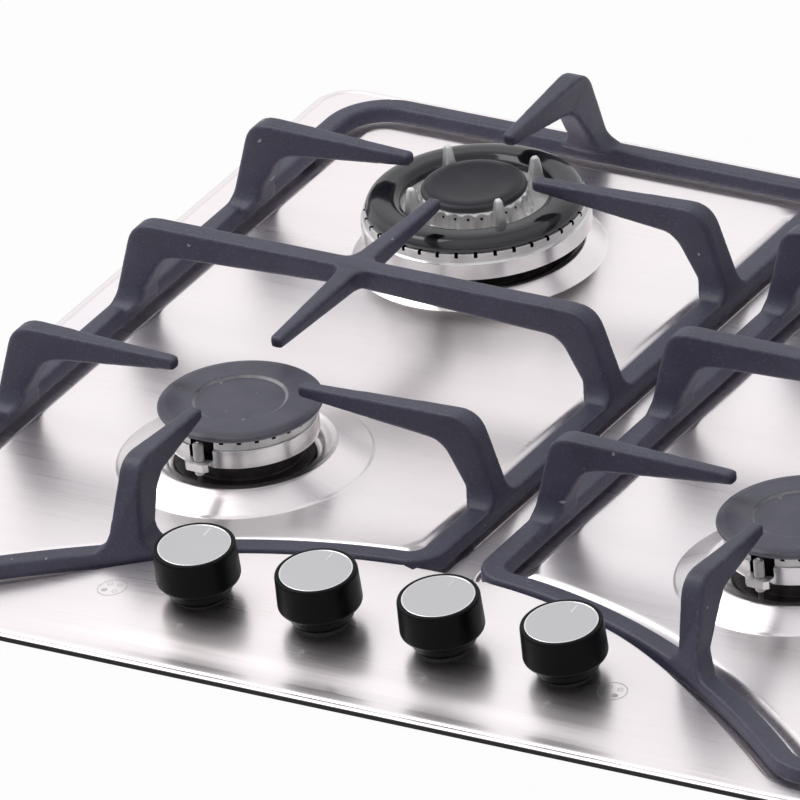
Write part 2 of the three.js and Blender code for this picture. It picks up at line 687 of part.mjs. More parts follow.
// One finger: foot on the rail, leaning leg, rounded bend, then a tapering arm to the tip.
// rail is the rail's centre line and tip the arm's end, both measured from the burner's axis;
// lip is how far the leg's outer face stands outside that line.
function finger(x, y, degrees, rail, lip, tip, options = {}) {
  const { tipWidth = 6, tipDepth = 5.6, drop = TIP_DROP, skew = 0 } = options;
  const top = FINGER_TOP_Z;
  const face = (z) => rail + lip - LEG_LEAN * (z - RAIL_TOP_Z);
  const knee = face(top - 9.5);
  const low = RAIL_TOP_Z + 5;
  const outline = [
    [tip, top - drop - tipDepth + 1, tipWidth - 1.4],
    [tip + 1, top - drop - tipDepth, tipWidth],
    [knee - 23, top - 14.2, 10.6],
    [knee - 17.5, top - 15.8, 10.8],
    [knee - 15, top - 19.5, 11],
    [face(low) - LEG_THICK + 1, low, 14],
    [rail - 5, RAIL_TOP_Z - 2, 22],
    [rail - 4.6, RAIL_BOTTOM_Z + 2.5, 23],
    [rail + 4.6, RAIL_BOTTOM_Z + 2.5, 23],
    [rail + 5, RAIL_TOP_Z - 2, 22],
    [face(low), low, 14],
    [knee, top - 9.5, 11],
    [knee - 1.3, top - 4.8, 10.8],
    [knee - 4.6, top - 1.3, 10.6],
    [knee - 9.3, top, 10.4],
    [tip + 1.2, top - drop, tipWidth],
    [tip, top - drop - 1.2, tipWidth - 1.4],
  ];
  return castArm(outline, x, y, degrees, skew);
}

function panSupport(side) {
  const x = side * BURNER_X;
  const railSection = [
    [-4.6, RAIL_BOTTOM_Z], [4.6, RAIL_BOTTOM_Z], [RAIL_HALF, RAIL_BOTTOM_Z + 2.6],
    [4.4, RAIL_TOP_Z], [-4.4, RAIL_TOP_Z], [-RAIL_HALF, RAIL_BOTTOM_Z + 2.6],
  ];
  const rail = skin(railSection.map(([off, z]) => lift(frameOutline(side, off), z)), true);
  const outward = side > 0 ? 0 : 180;
  const [far, near] = [RAIL_OUTER_X - BURNER_X, BURNER_X - RAIL_INNER_X];
  const [outerLip, innerLip, midLip] = [4.2, 6, 5.4];
  const arms = [ROW_FRONT_Y, ROW_REAR_Y].flatMap((y) => [
    finger(x, y, outward, far, outerLip, TIP_RADIUS),
    finger(x, y, outward + 180, near, innerLip, TIP_RADIUS),
  ]);
  const flat = { tipWidth: 10, tipDepth: 10, drop: 0 };
  const skew = -side * Math.tan(bowAngle(BURNER_X));
  arms.push(
    finger(x, ROW_MID_Y, outward, far, outerLip, -4, flat),
    finger(x, ROW_MID_Y, outward + 180, near, innerLip, -4, flat),
    finger(x, ROW_FRONT_Y, 270, ROW_FRONT_Y - bowY(x), midLip, TIP_RADIUS + 4, { skew }),
    finger(x, ROW_REAR_Y, 90, RAIL_BACK_Y - ROW_REAR_Y, midLip, TIP_RADIUS),
  );
  const span = ROW_REAR_Y - ROW_MID_Y - TIP_RADIUS - 1;
  const end = FINGER_TOP_Z - TIP_DROP;
  for (const turn of [90, 270]) {
    arms.push(castArm([
      [-3, FINGER_TOP_Z - 10, 10.2], [span - 1, end - 5.6, 6], [span, end - 4.6, 4.6],
      [span, end - 1.2, 4.6], [span - 1.2, end, 6], [-3, FINGER_TOP_Z, 10.2],
    ], x, ROW_MID_Y, turn));
  }
  const sockets = footPlaces(side).map(([footX, footY]) => {
    return rod(2.1, RAIL_BOTTOM_Z - 2, RAIL_BOTTOM_Z + 4, footX, footY, 8);
  });
  return cut(join([rail, ...arms]), sockets);
}

function footPlaces(side) {
  const nearX = RAIL_INNER_X;
  const farX = RAIL_OUTER_X;
  return [[nearX, -105], [farX, -150], [nearX, 190], [farX, 190]].map(([x, y]) => [side * x, y]);
}

function rubberFoot(x, y) {
  return turned([
    [0, FLOOR_Z + GAP], [3.6, FLOOR_Z + GAP], [4, RAIL_BOTTOM_Z - GAP], [1.7, RAIL_BOTTOM_Z - GAP],
    [1.7, RAIL_BOTTOM_Z + 3.5], [0, RAIL_BOTTOM_Z + 3.5],
  ], 8, x, y);
}

// ---------------------------------------------------------------- ignition
function ignitionBox() {
  const body = block(-40, 40, 188, 226, CASING_WALL + GAP, 28);
  const terminals = [-24, -8, 8, 24].map((x) => rod(2.4, 20, 36, x, 207, 8));
  return join([body, ...terminals]);
}

function mainsGland() {
  const wall = CASING_D / 2;
  const profile = [
    [0, -8], [6.8, -8], [6.8, GAP], [9.5, GAP], [9.5, 4], [7, 8], [0, 8],
  ];
  const bush = crossways(turned(profile, 16), GLAND_X, wall, GLAND_Z);
  return cut(bush, [crossways(rod(3.4, -12, 12, 0, 0, 10), GLAND_X, wall, GLAND_Z)]);
}

// ---------------------------------------------------------------- assembly
piece('top_plate', topPlate(), STEEL());
piece('bottom_casing', bottomCasing(), GALVANISED());
piece('rim_seal', rimSeal(), RUBBER());
piece('left_worktop_clamp', worktopClamp(-1), GALVANISED());
piece('right_worktop_clamp', worktopClamp(1), GALVANISED());

for (const burner of BURNERS) {
  piece(`${burner.name}_burner_cup`, burnerCup(burner), ALUMINIUM());
  piece(`${burner.name}_burner_head`, burner.wok ? wokHead(burner) : burnerHead(burner), ALUMINIUM());
  piece(`${burner.name}_spark_plug`, sparkPlug(burner), CERAMIC());
  if (burner.wok) {
    piece('rear_left_ring_cap', wokRingCap(burner), GLOSS_ENAMEL());
    piece('rear_left_centre_cap', wokCentreCap(burner), ENAMEL());
  } else {
    piece(`${burner.name}_burner_cap`, burnerCap(burner), ENAMEL());
  }
}

piece('gas_manifold', gasManifold(), ALUMINIUM());
piece('gas_inlet_elbow', inletElbow(), BRASS());
piece('ignition_box', ignitionBox(), KNOB_BLACK());
piece('mains_gland', mainsGland(), RUBBER());

const SERVED = ['front_left', 'rear_left', 'rear_right', 'front_right'];
KNOB_XS.forEach((x, i) => {
  const name = SERVED[i];
  const burner = BURNERS.find((b) => b.name === name);
  piece(`${name}_gas_pipe`, gasPipe(x, burner), ALUMINIUM());
  piece(`${name}_tap_body`, leaned(tapBody(x)), BRASS());
  piece(`${name}_tap_plug`, leaned(tapPlug(x)), BRASS());
  piece(`${name}_tap_stem`, leaned(tapStem(x)), BRASS());
  piece(`${name}_knob`, leaned(knob(x)), KNOB_BLACK());
  piece(`${name}_knob_disc`, leaned(knobDisc(x)), ALUMINIUM());
});

for (const [word, side] of [['left', -1], ['right', 1]]) {
  piece(`${word}_pan_support`, panSupport(side), CAST_IRON());
  footPlaces(side).forEach(([x, y], i) => {
    const where = ['inner_front', 'outer_front', 'inner_rear', 'outer_rear'][i];
    piece(`${word}_${where}_foot`, rubberFoot(x, y), RUBBER());
  });
}

export default cooktop;
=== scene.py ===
import math
import bmesh
import bpy
from mathutils import Matrix, Vector
from mathutils.geometry import delaunay_2d_cdt


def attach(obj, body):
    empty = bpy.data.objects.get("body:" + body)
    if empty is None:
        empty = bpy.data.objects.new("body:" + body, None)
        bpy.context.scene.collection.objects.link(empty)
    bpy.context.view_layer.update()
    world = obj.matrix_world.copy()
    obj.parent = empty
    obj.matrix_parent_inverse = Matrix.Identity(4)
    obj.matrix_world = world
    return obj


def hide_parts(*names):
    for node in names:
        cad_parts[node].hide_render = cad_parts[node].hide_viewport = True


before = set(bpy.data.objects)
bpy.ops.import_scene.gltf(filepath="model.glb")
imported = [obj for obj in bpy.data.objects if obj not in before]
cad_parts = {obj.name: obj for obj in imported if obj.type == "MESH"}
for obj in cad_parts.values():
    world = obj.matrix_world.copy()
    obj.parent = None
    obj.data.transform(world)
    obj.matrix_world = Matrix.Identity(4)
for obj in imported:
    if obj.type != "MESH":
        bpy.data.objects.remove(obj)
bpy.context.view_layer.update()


# ---------------------------------------------------------------- room
# The hob lies in a white worktop, in a plain white studio. One softbox hangs over its left side
# and a weak one behind it, and the camera looks down from the front right, through a long lens.

# Lengths are in millimetres and turn into metres where a mesh or a place is made.
MM = 0.001
# As high as the seal's underside when the hob's weight presses the seal together.
WORKTOP_Z = 53.2
WORKTOP_REACH = 4000
CUT_OUT_W, CUT_OUT_D = 560, 490
CAMERA_YAW = 32.39
CAMERA_PITCH = 27.98
CAMERA_ROLL = -4.98
CAMERA_DISTANCE = 10.0
CAMERA_TARGET = Vector((-0.10908, -0.00005, 0.058))
PIXELS_PER_METRE = 2203.2
IMAGE_SIDE = 800
SENSOR = 36.0
ROOM_LIGHT = 0.09
MIRRORED_WHITE = 0.9
SHOWN_WHITE = 0.97


def add_node(material, kind, inputs=None, **settings):
    """A shader node, with its settings, and its inputs given as values or as other sockets."""
    made = material.node_tree.nodes.new(kind)
    for key, value in settings.items():
        setattr(made, key, value)
    for key, value in (inputs or {}).items():
        if isinstance(value, bpy.types.NodeSocket):
            material.node_tree.links.new(value, made.inputs[key])
        else:
            made.inputs[key].default_value = value
    return made


def aim_camera():
    """A long lens far away, turned and tilted so that the hob looks as it does in the photo."""
    yaw, pitch, roll = (math.radians(a) for a in (CAMERA_YAW, CAMERA_PITCH, CAMERA_ROLL))
    level = math.cos(pitch)
    look = Vector((-math.sin(yaw) * level, math.cos(yaw) * level, -math.sin(pitch)))
    right = Vector((math.cos(yaw), math.sin(yaw), 0))
    up = right.cross(look)
    rolled_right = right * math.cos(roll) + up * math.sin(roll)
    rolled_up = up * math.cos(roll) - right * math.sin(roll)
    place = CAMERA_TARGET - look * CAMERA_DISTANCE
    lens = bpy.data.cameras.new("camera")
    lens.sensor_width = SENSOR
    lens.lens = PIXELS_PER_METRE * CAMERA_DISTANCE / IMAGE_SIDE * SENSOR
    lens.clip_end = 60
    camera = bpy.data.objects.new("camera", lens)
    axes = Matrix((rolled_right, rolled_up, -look)).transposed().to_4x4()
    camera.matrix_world = Matrix.Translation(place) @ axes
    bpy.context.scene.collection.objects.link(camera)
    bpy.context.scene.camera = camera


def hang_softbox(name, place, aim, width, depth, watts):
    lamp = bpy.data.lights.new(name, "AREA")
    lamp.shape = "RECTANGLE"
    lamp.size = width
    lamp.size_y = depth
    lamp.energy = watts
    box = bpy.data.objects.new(name, lamp)
    place = Vector(place)
    turn = (Vector(aim) - place).to_track_quat("-Z", "Y")
    box.matrix_world = Matrix.Translation(place) @ turn.to_matrix().to_4x4()
    bpy.context.scene.collection.objects.link(box)


def seen_directly(material):
    """1 for rays that show the background: from the camera, or by a mirror or a clear body."""
    path = add_node(material, "ShaderNodeLightPath")
    either = add_node(material, "ShaderNodeMath", {
        0: path.outputs["Is Camera Ray"], 1: path.outputs["Is Glossy Ray"],
    }, operation="MAXIMUM")
    return add_node(material, "ShaderNodeMath", {
        0: either.outputs[0], 1: path.outputs["Is Transmission Ray"],
    }, operation="MAXIMUM").outputs[0]


def light_room():
    """A white background, a little less white in metal, that lights the hob only faintly."""
    world = bpy.data.worlds.new("studio")
    bpy.context.scene.world = world
    world.use_nodes = True
    output = world.node_tree.nodes["World Output"]
    ambient = world.node_tree.nodes["Background"]
    ambient.inputs["Color"].default_value = (0.97, 0.98, 1.0, 1)
    ambient.inputs["Strength"].default_value = ROOM_LIGHT
    mirrored = add_node(world, "ShaderNodeBackground", {
        "Color": (0.97, 0.98, 1, 1), "Strength": MIRRORED_WHITE,
    })
    white = add_node(world, "ShaderNodeBackground", {"Color": (1, 1, 1, 1), "Strength": 1.0})
    rays = add_node(world, "ShaderNodeLightPath")
    dimmed = add_node(world, "ShaderNodeMixShader", {
        0: seen_directly(world), 1: ambient.outputs[0], 2: mirrored.outputs[0],
    })
    shown = add_node(world, "ShaderNodeMixShader", {
        0: rays.outputs["Is Camera Ray"], 1: dimmed.outputs[0], 2: white.outputs[0],
    })
    world.node_tree.links.new(shown.outputs[0], output.inputs["Surface"])
    hang_softbox("softbox_left", place=(-1.4, -0.1, 2.1), aim=(-0.1, 0.0, 0.05),
                 width=1.3, depth=1.3, watts=20)
    hang_softbox("softbox_back", place=(-0.8, 1.9, 1.05), aim=(-0.05, 0.0, 0.06),
                 width=2.2, depth=1.5, watts=2.0)


def lay_worktop():
    """A white top with the cut-out in it, shown as the white background and clear from below."""
    white = bpy.data.materials.new("white_worktop")
    white.use_nodes = True
    nodes = white.node_tree.nodes
    nodes.remove(nodes["Principled BSDF"])
    lit = add_node(white, "ShaderNodeBsdfDiffuse", {"Color": (0.9, 0.9, 0.9, 1)})
    glow = add_node(white, "ShaderNodeEmission", {"Color": (1, 1, 1, 1), "Strength": 1.0})
    share = add_node(white, "ShaderNodeMath", {0: seen_directly(white), 1: SHOWN_WHITE},
                     operation="MULTIPLY")
    top = add_node(white, "ShaderNodeMixShader", {
        0: share.outputs[0], 1: lit.outputs[0], 2: glow.outputs[0],
    })
    below = add_node(white, "ShaderNodeBsdfTransparent")
    side = add_node(white, "ShaderNodeNewGeometry").outputs["Backfacing"]
    both = add_node(white, "ShaderNodeMixShader", {0: side, 1: top.outputs[0], 2: below.outputs[0]})
    white.node_tree.links.new(both.outputs[0], nodes["Material Output"].inputs["Surface"])

    outer = [(-1, -1), (1, -1), (1, 1), (-1, 1)]
    points = [(sx * WORKTOP_REACH * MM, sy * WORKTOP_REACH * MM, 0) for sx, sy in outer]
    points += [(sx * CUT_OUT_W / 2 * MM, sy * CUT_OUT_D / 2 * MM, 0) for sx, sy in outer]
    mesh = bpy.data.meshes.new("worktop")
    mesh.from_pydata(points, [], [(i, (i + 1) % 4, (i + 1) % 4 + 4, i + 4) for i in range(4)])
    mesh.materials.append(white)
    worktop = bpy.data.objects.new("worktop", mesh)
    worktop.location.z = (WORKTOP_Z - 0.1) * MM
    bpy.context.scene.collection.objects.link(worktop)


bpy.context.scene.view_settings.view_transform = "Standard"
aim_camera()
light_room()
lay_worktop()


# ---------------------------------------------------------------- top plate
# One sheet of brushed stainless steel, 1.2 mm thick, with a hemmed rim behind a fine groove. Two
# wells are pressed into it for the pan supports: a channel for the frame runs round a higher
# deck with a dish round each burner. The control panel swells up to a sharp bowed crest.
PLATE_HALF_W, PLATE_HALF_D = 295, 260
PLATE_CORNER = 18
SHEET = 1.2
HEM_Z = 56.9
BORDER_Z = 58
FLOOR_Z = 56
PLATEAU_Z = 61
DECK_Z = 60.5
CREST_Z = 67
RAMP_FROM, RAMP_TO = 9.5, 15.5
CREST_RISE = 8
PANEL_FRONT_Y = -252
PANEL_HALF_W = 195
PANEL_EASE_W = 105
WALL_TOP_OFF = 9.6
BURNER_X = 145
BOW_APEX_Y = -138
BOW_CURVE = 0.00198
RAIL_INNER_X, RAIL_OUTER_X, RAIL_BACK_Y = 15.5, 268.5, 241
INNER_RADIUS, FRONT_RADIUS, BACK_RADIUS = 12, 30, 24
FRONT_BURNER_Y, REAR_BURNER_Y = -77.5, 135.5
CREST_BACK = 9
KNOB_Y = -202
KNOB_XS = {"front_left": -94.5, "rear_left": -31.5, "rear_right": 31.5, "front_right": 94.5}
STEM_HOLE_R = 6.2
BURNERS = {
    "front_left": {
        "x": -BURNER_X, "y": FRONT_BURNER_Y, "cap": 38, "hole": 30.5, "seat": 34.6,
        "crest": 42.6, "edge": 58.4, "spark_r": 36.6, "spark_at": -92,
    },
    "front_right": {
        "x": BURNER_X, "y": FRONT_BURNER_Y, "cap": 38, "hole": 30.5, "seat": 34.6,
        "crest": 42.6, "edge": 58.4, "spark_r": 36.6, "spark_at": -92,
    },
    "rear_right": {
        "x": BURNER_X, "y": REAR_BURNER_Y, "cap": 28, "hole": 20.5, "seat": 24.6,
        "crest": 32.6, "edge": 48.4, "spark_r": 26.6, "spark_at": -92,
    },
    "rear_left": {
        "x": -BURNER_X, "y": REAR_BURNER_Y, "cap": 51, "hole": 43.5, "seat": 46,
        "crest": 49.2, "edge": 58.6, "spark_r": 57.7, "spark_at": 150,
    },
}


def bow_y(x):
    return BOW_APEX_Y - BOW_CURVE * x * x


def bow_angle(x):
    return math.atan(2 * BOW_CURVE * x)


def smooth_step(value, low, high):
    t = min(max((value - low) / (high - low), 0), 1)
    return t * t * (3 - 2 * t)


def plate_z(x, y):
    """Height of the plate's upper face outside the wells: the border, or the swelling panel."""
    side = smooth_step(PANEL_HALF_W - abs(x), 0, PANEL_EASE_W)
    back = bow_y(x) - CREST_BACK
    along = min(max((y - PANEL_FRONT_Y) / (back - PANEL_FRONT_Y), 0), 1)
    swell = (1 - (1 - along) ** 1.8) * smooth_step(along, 0, 0.14)
    behind = 1 - smooth_step(y, back - 0.2, back + 1.6)
    return BORDER_Z + CREST_RISE * side * swell * behind


def circle(x, y, radius, steps):
    turns = (2 * math.pi * i / steps for i in range(steps))
    return [(x + radius * math.cos(a), y + radius * math.sin(a)) for a in turns]


def arc(x, y, radius, start, end, steps):
    """Points of an arc with their outward normals, from one angle to another in degrees."""
    made = []
    for i in range(steps + 1):
        angle = math.radians(start + (end - start) * i / steps)
        nx, ny = math.cos(angle), math.sin(angle)
        made.append((x + radius * nx, y + radius * ny, nx, ny))
    return made


def frame_line():
    """Centre line of the right pan support's frame, with normals; its front follows the bow."""
    def meet(centre_x, radius):
        x = centre_x
        for _ in range(20):
            x = centre_x - radius * math.sin(bow_angle(x))
        return x, bow_y(x) + radius * math.cos(bow_angle(x)), 270 - math.degrees(bow_angle(x))

    inner_cx = RAIL_INNER_X + INNER_RADIUS
    outer_cx = RAIL_OUTER_X - FRONT_RADIUS
    back_cx = RAIL_OUTER_X - BACK_RADIUS
    first_x, inner_cy, inner_turn = meet(inner_cx, INNER_RADIUS)
    last_x, outer_cy, outer_turn = meet(outer_cx, FRONT_RADIUS)
    line = arc(inner_cx, inner_cy, INNER_RADIUS, 180, inner_turn, 14)
    spans = 44
    for i in range(1, spans):
        x = first_x + (last_x - first_x) * i / spans
        tilt = bow_angle(x)
        line.append((x, bow_y(x), -math.sin(tilt), -math.cos(tilt)))
    line += arc(outer_cx, outer_cy, FRONT_RADIUS, outer_turn, 360, 18)
    line += straight(line[-1], (RAIL_OUTER_X, RAIL_BACK_Y - BACK_RADIUS, 1, 0))
    line += arc(back_cx, RAIL_BACK_Y - BACK_RADIUS, BACK_RADIUS, 0, 90, 14)
    line += straight(line[-1], (inner_cx, RAIL_BACK_Y, 0, 1))
    line += arc(inner_cx, RAIL_BACK_Y - INNER_RADIUS, INNER_RADIUS, 90, 180, 10)
    line += straight(line[-1], line[0])
    return line


def straight(start, end, step=12):
    """Points between two places of the frame line, about a step apart."""
    count = int(math.hypot(end[0] - start[0], end[1] - start[1]) / step)
    return [
        tuple(a + (b - a) * i / count for a, b in zip(start, end)) for i in range(1, count)
    ]


FRAME_LINE = frame_line()


def frame_outline(side, off):
    return [(side * (x + off * nx), y + off * ny) for x, y, nx, ny in FRAME_LINE]


def from_frame(x, y):
    """How far a place on the right-hand half lies from the centre line of the frame."""
    least = 1000
    for (x0, y0, _, _), (x1, y1, _, _) in zip(FRAME_LINE, FRAME_LINE[1:] + FRAME_LINE[:1]):
        dx, dy = x1 - x0, y1 - y0
        share = ((x - x0) * dx + (y - y0) * dy) / (dx * dx + dy * dy)
        share = min(max(share, 0), 1)
        least = min(least, math.hypot(x - x0 - share * dx, y - y0 - share * dy))
    return least


def deck_z(x, y):
    """The deck lies higher than the channel that the pan support's frame stands in."""
    return FLOOR_Z + (DECK_Z - FLOOR_Z) * smooth_step(from_frame(abs(x), y), RAMP_FROM, RAMP_TO)


def rounded_rectangle(half_w, half_d, radius, steps=10):
    made = []
    for sx, sy, start in ((1, 1, 0), (-1, 1, 90), (-1, -1, 180), (1, -1, 270)):
        for x, y, _, _ in arc(sx * (half_w - radius), sy * (half_d - radius), radius,
                              start, start + 90, steps):
            made.append((x, y))
    return made


def inside(x, y, loop):
    """Whether a point lies within a closed loop."""
    found = False
    for (x0, y0), (x1, y1) in zip(loop, loop[1:] + loop[:1]):
        if (y0 > y) != (y1 > y) and x < (x1 - x0) * (y - y0) / (y1 - y0) + x0:
            found = not found
    return found


def near(x, y, loop, gap):
    return any((x - px) ** 2 + (y - py) ** 2 < gap * gap for px, py in loop)


def fill(outer, holes, extra, height):
    """Triangles between an outer loop and its holes, through extra points, at a height."""
    flat, edges = [], []
    for loop in [outer] + holes:
        start = len(flat)
        flat += [Vector(p) for p in loop]
        edges += [(start + i, start + (i + 1) % len(loop)) for i in range(len(loop))]
    flat += [Vector(p) for p in extra]
    found, _, faces, _, _, _ = delaunay_2d_cdt(flat, edges, [], 0, 1e-5)
    kept = []
    for face in faces:
        x = sum(found[i].x for i in face) / len(face)
        y = sum(found[i].y for i in face) / len(face)
        if inside(x, y, outer) and not any(inside(x, y, hole) for hole in holes):
            kept.append(face)
    return [(p.x, p.y, height(p.x, p.y)) for p in found], kept


def bands(loops, ring=False):
    """Quads between loops of equal length, and from the last to the first if it's a ring."""
    count = len(loops[0])
    points = [p for loop in loops for p in loop]
    faces = []
    for j in range(len(loops) if ring else len(loops) - 1):
        low, high = j * count, (j + 1) % len(loops) * count
        for i in range(count):
            k = (i + 1) % count
            faces.append((low + i, low + k, high + k, high + i))
    return points, faces


def joined(*shapes):
    """Several shapes, each points and faces, as one."""
    points, faces = [], []
    for some_points, some_faces in shapes:
        start = len(points)
        points += some_points
        faces += [tuple(start + i for i in face) for face in some_faces]
    return points, faces


def make_piece(name, shape, finish, body, stands_for=()):
    """A piece of mesh from points in millimetres, that rides on a body of the frame."""
    points, faces = shape
    mesh = bpy.data.meshes.new(name)
    mesh.from_pydata([Vector(p) * MM for p in points], [], faces)
    work = bmesh.new()
    work.from_mesh(mesh)
    bmesh.ops.remove_doubles(work, verts=work.verts, dist=1e-6)
    bmesh.ops.recalc_face_normals(work, faces=work.faces)
    for face in work.faces:
        face.smooth = True
    work.to_mesh(mesh)
    work.free()
    mesh.materials.append(finish)
    made = bpy.data.objects.new(name, mesh)
    bpy.context.scene.collection.objects.link(made)
    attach(made, body)
    if stands_for:
        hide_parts(*stands_for)
    return made


def crisp(made, angle=38):
    """Keeps edges sharper than the angle, and flat faces flat beside rounded ones."""
    made.data.set_sharp_from_angle(angle=math.radians(angle))
    made.modifiers.new("flat_faces", "WEIGHTED_NORMAL").keep_sharp = True


def panel_grid(wells, holes):
    """Extra points over the curved panel, and close rows where its crest drops to the land."""
    made = []
    step = 5
    for i in range(-40, 41):
        for j in range(24):
            x, y = i * step, PANEL_FRONT_Y - 3 + j * step
            if y < bow_y(x) - 11:
                made.append((x, y))
    close = 0.8
    for i in range(-18, 19):
        for off in (-2.4, -1.2, -0.5, 0, 0.4, 0.8, 1.2, 1.6, 2.4):
            made.append((i * close, bow_y(i * close) - CREST_BACK + off))
    return [
        p for p in made
        if not any(inside(*p, loop) or near(*p, loop, 0.5) for loop in wells + holes)
        and not any(near(*p, loop, 2.2) for loop in wells + holes if abs(p[0]) > 15)
    ]


def rim_shape():
    """The hemmed edge and the groove behind it; each step gives its inset and its height."""
    profile = [
        (0.5, HEM_Z), (0.1, HEM_Z + 0.2), (0, HEM_Z + 0.4), (0.1, HEM_Z + 0.65),
        (0.5, BORDER_Z - 0.25), (1.1, BORDER_Z - 0.05), (1.7, BORDER_Z),
        (2.4, BORDER_Z - 0.15), (3.2, BORDER_Z - 0.5), (4, BORDER_Z - 0.15),
        (4.8, BORDER_Z), (6, BORDER_Z),
    ]
    loops = []
    for inward, z in profile:
        plan = rounded_rectangle(PLATE_HALF_W - inward, PLATE_HALF_D - inward, PLATE_CORNER - inward)
        loops.append([(x, y, z) for x, y in plan])
    return bands(loops), plan


# Steps of a well's wall, as distances outside the frame's line: a small fillet with heights
# above the floor, and then a rounded lip with depths below its top.
WALL_FOOT = [(6.0, 0), (6.5, 0.06), (7.0, 0.2), (7.5, 0.42), (7.9, 0.75)]
WALL_LIP = [(8.5, -0.62), (8.7, -0.36), (9.0, -0.15), (9.3, -0.04), (WALL_TOP_OFF, 0)]
DISH_STEPS = 120


def wall_shape(side):
    tops = [plate_z(x, y) for x, y in frame_outline(side, WALL_TOP_OFF)]
    loops = []
    for off, height in WALL_FOOT:
        loops.append([(x, y, FLOOR_Z + height) for x, y in frame_outline(side, off)])
    for off, drop in WALL_LIP:
        plan = frame_outline(side, off)
        loops.append([(x, y, top + drop) for (x, y), top in zip(plan, tops)])
    return bands(loops)


def deck_shape(side, feet):
    """The channel and the deck of a well, with room left for the foot of each dish."""
    ramp = []
    for off in (8.5, 9.5, 10.5, 11.5, 12.5, 13.5, 14.5, 15.5, 17):
        for x, y in frame_outline(side, -off):
            clear = not any(inside(x, y, foot) or near(x, y, foot, 2) for foot in feet)
            if clear and from_frame(abs(x), y) > off - 0.2:
                ramp.append((x, y))
    return fill(frame_outline(side, WALL_FOOT[0][0]), feet, ramp, deck_z)


def dish_shape(burner):
    """The raised dish round a burner: a fold line, a crest, and the seat in the middle."""
    x, y, crest, seat, foot = (burner[key] for key in ("x", "y", "crest", "seat", "edge"))
    outside = [
        (foot + 0.8, DECK_Z), (foot + 0.2, DECK_Z + 0.15), (foot - 0.3, DECK_Z + 0.75),
        (foot - 1, DECK_Z + 1), (crest + 1.9, CREST_Z - 0.5), (crest + 0.8, CREST_Z - 0.1),
        (crest, CREST_Z),
    ]
    inward = [
        (0.12, CREST_Z - 0.3), (0.25, CREST_Z - 0.75), (0.4, CREST_Z - 1), (0.62, CREST_Z - 1),
        (0.75, CREST_Z - 1.3), (0.82, CREST_Z - 2.2), (0.87, (CREST_Z + PLATEAU_Z) / 2),
        (0.93, PLATEAU_Z + 0.4), (1, PLATEAU_Z),
    ]
    steps = outside + [(crest - (crest - seat) * share, z) for share, z in inward]
    slope = bands([[(px, py, z) for px, py in circle(x, y, r, DISH_STEPS)] for r, z in steps])
    hole = circle(x, y, burner["hole"], 90)
    return joined(slope, fill(circle(x, y, seat, DISH_STEPS), [hole], [], lambda px, py: PLATEAU_Z))


def plate_shape():
    """Rim, border and panel in one sheet with the walls, decks and dishes of both wells."""
    rim, border = rim_shape()
    stem_holes = [circle(x, KNOB_Y, STEM_HOLE_R, 24) for x in KNOB_XS.values()]
    well_tops = [frame_outline(side, WALL_TOP_OFF) for side in (-1, 1)]
    extra = panel_grid(well_tops, stem_holes)
    shapes = [rim, fill(border, well_tops + stem_holes, extra, plate_z)]
    shapes += [wall_shape(side) for side in (-1, 1)]
    for side in (-1, 1):
        here = [b for b in BURNERS.values() if b["x"] * side > 0]
        feet = [circle(b["x"], b["y"], b["edge"] + 0.8, DISH_STEPS) for b in here]
        shapes.append(deck_shape(side, feet))
        shapes += [dish_shape(burner) for burner in here]
    return joined(*shapes)


def new_finish(name):
    """A material, its surface shader, and the place on a piece that its patterns follow."""
    finish = bpy.data.materials.new(name)
    finish.use_nodes = True
    place = add_node(finish, "ShaderNodeTexCoord").outputs["Object"]
    return finish, finish.node_tree.nodes["Principled BSDF"], place


def connect(finish, skin, wires):
    """Leads each socket to the input of the surface shader that it's named for."""
    for key, socket in wires.items():
        finish.node_tree.links.new(socket, skin.inputs[key])


def noise(finish, place, scale, detail, roughness=0.5):
    """A level between 0 and 1 that varies over a piece."""
    return add_node(finish, "ShaderNodeTexNoise", {
        "Vector": place, "Scale": scale, "Detail": detail, "Roughness": roughness,
    }).outputs["Fac"]


def spread(finish, level, low, high, least=0.0, most=1.0):
    """Carries a level that lies between least and most over to the span from low to high."""
    return add_node(finish, "ShaderNodeMapRange", {
        "Value": level, "From Min": least, "From Max": most, "To Min": low, "To Max": high,
    }).outputs[0]


def two_tones(finish, level, low, dark, high, pale):
    """Dark where a level is below low, pale where it is above high, and a blend between."""
    ramp = add_node(finish, "ShaderNodeValToRGB", {"Fac": level})
    for stop, position, tone in zip(ramp.color_ramp.elements, (low, high), (dark, pale)):
        stop.position = position
        stop.color = (*tone, 1)
    return ramp.outputs[0]


def blend(finish, share, first, second, kind="MIX"):
    return add_node(finish, "ShaderNodeMix", {"Factor": share, 6: first, 7: second},
                    data_type="RGBA", blend_type=kind).outputs[2]


def bumps(finish, level, strength, distance):
    return add_node(finish, "ShaderNodeBump", {
        "Height": level, "Strength": strength, "Distance": distance,
    }).outputs[0]


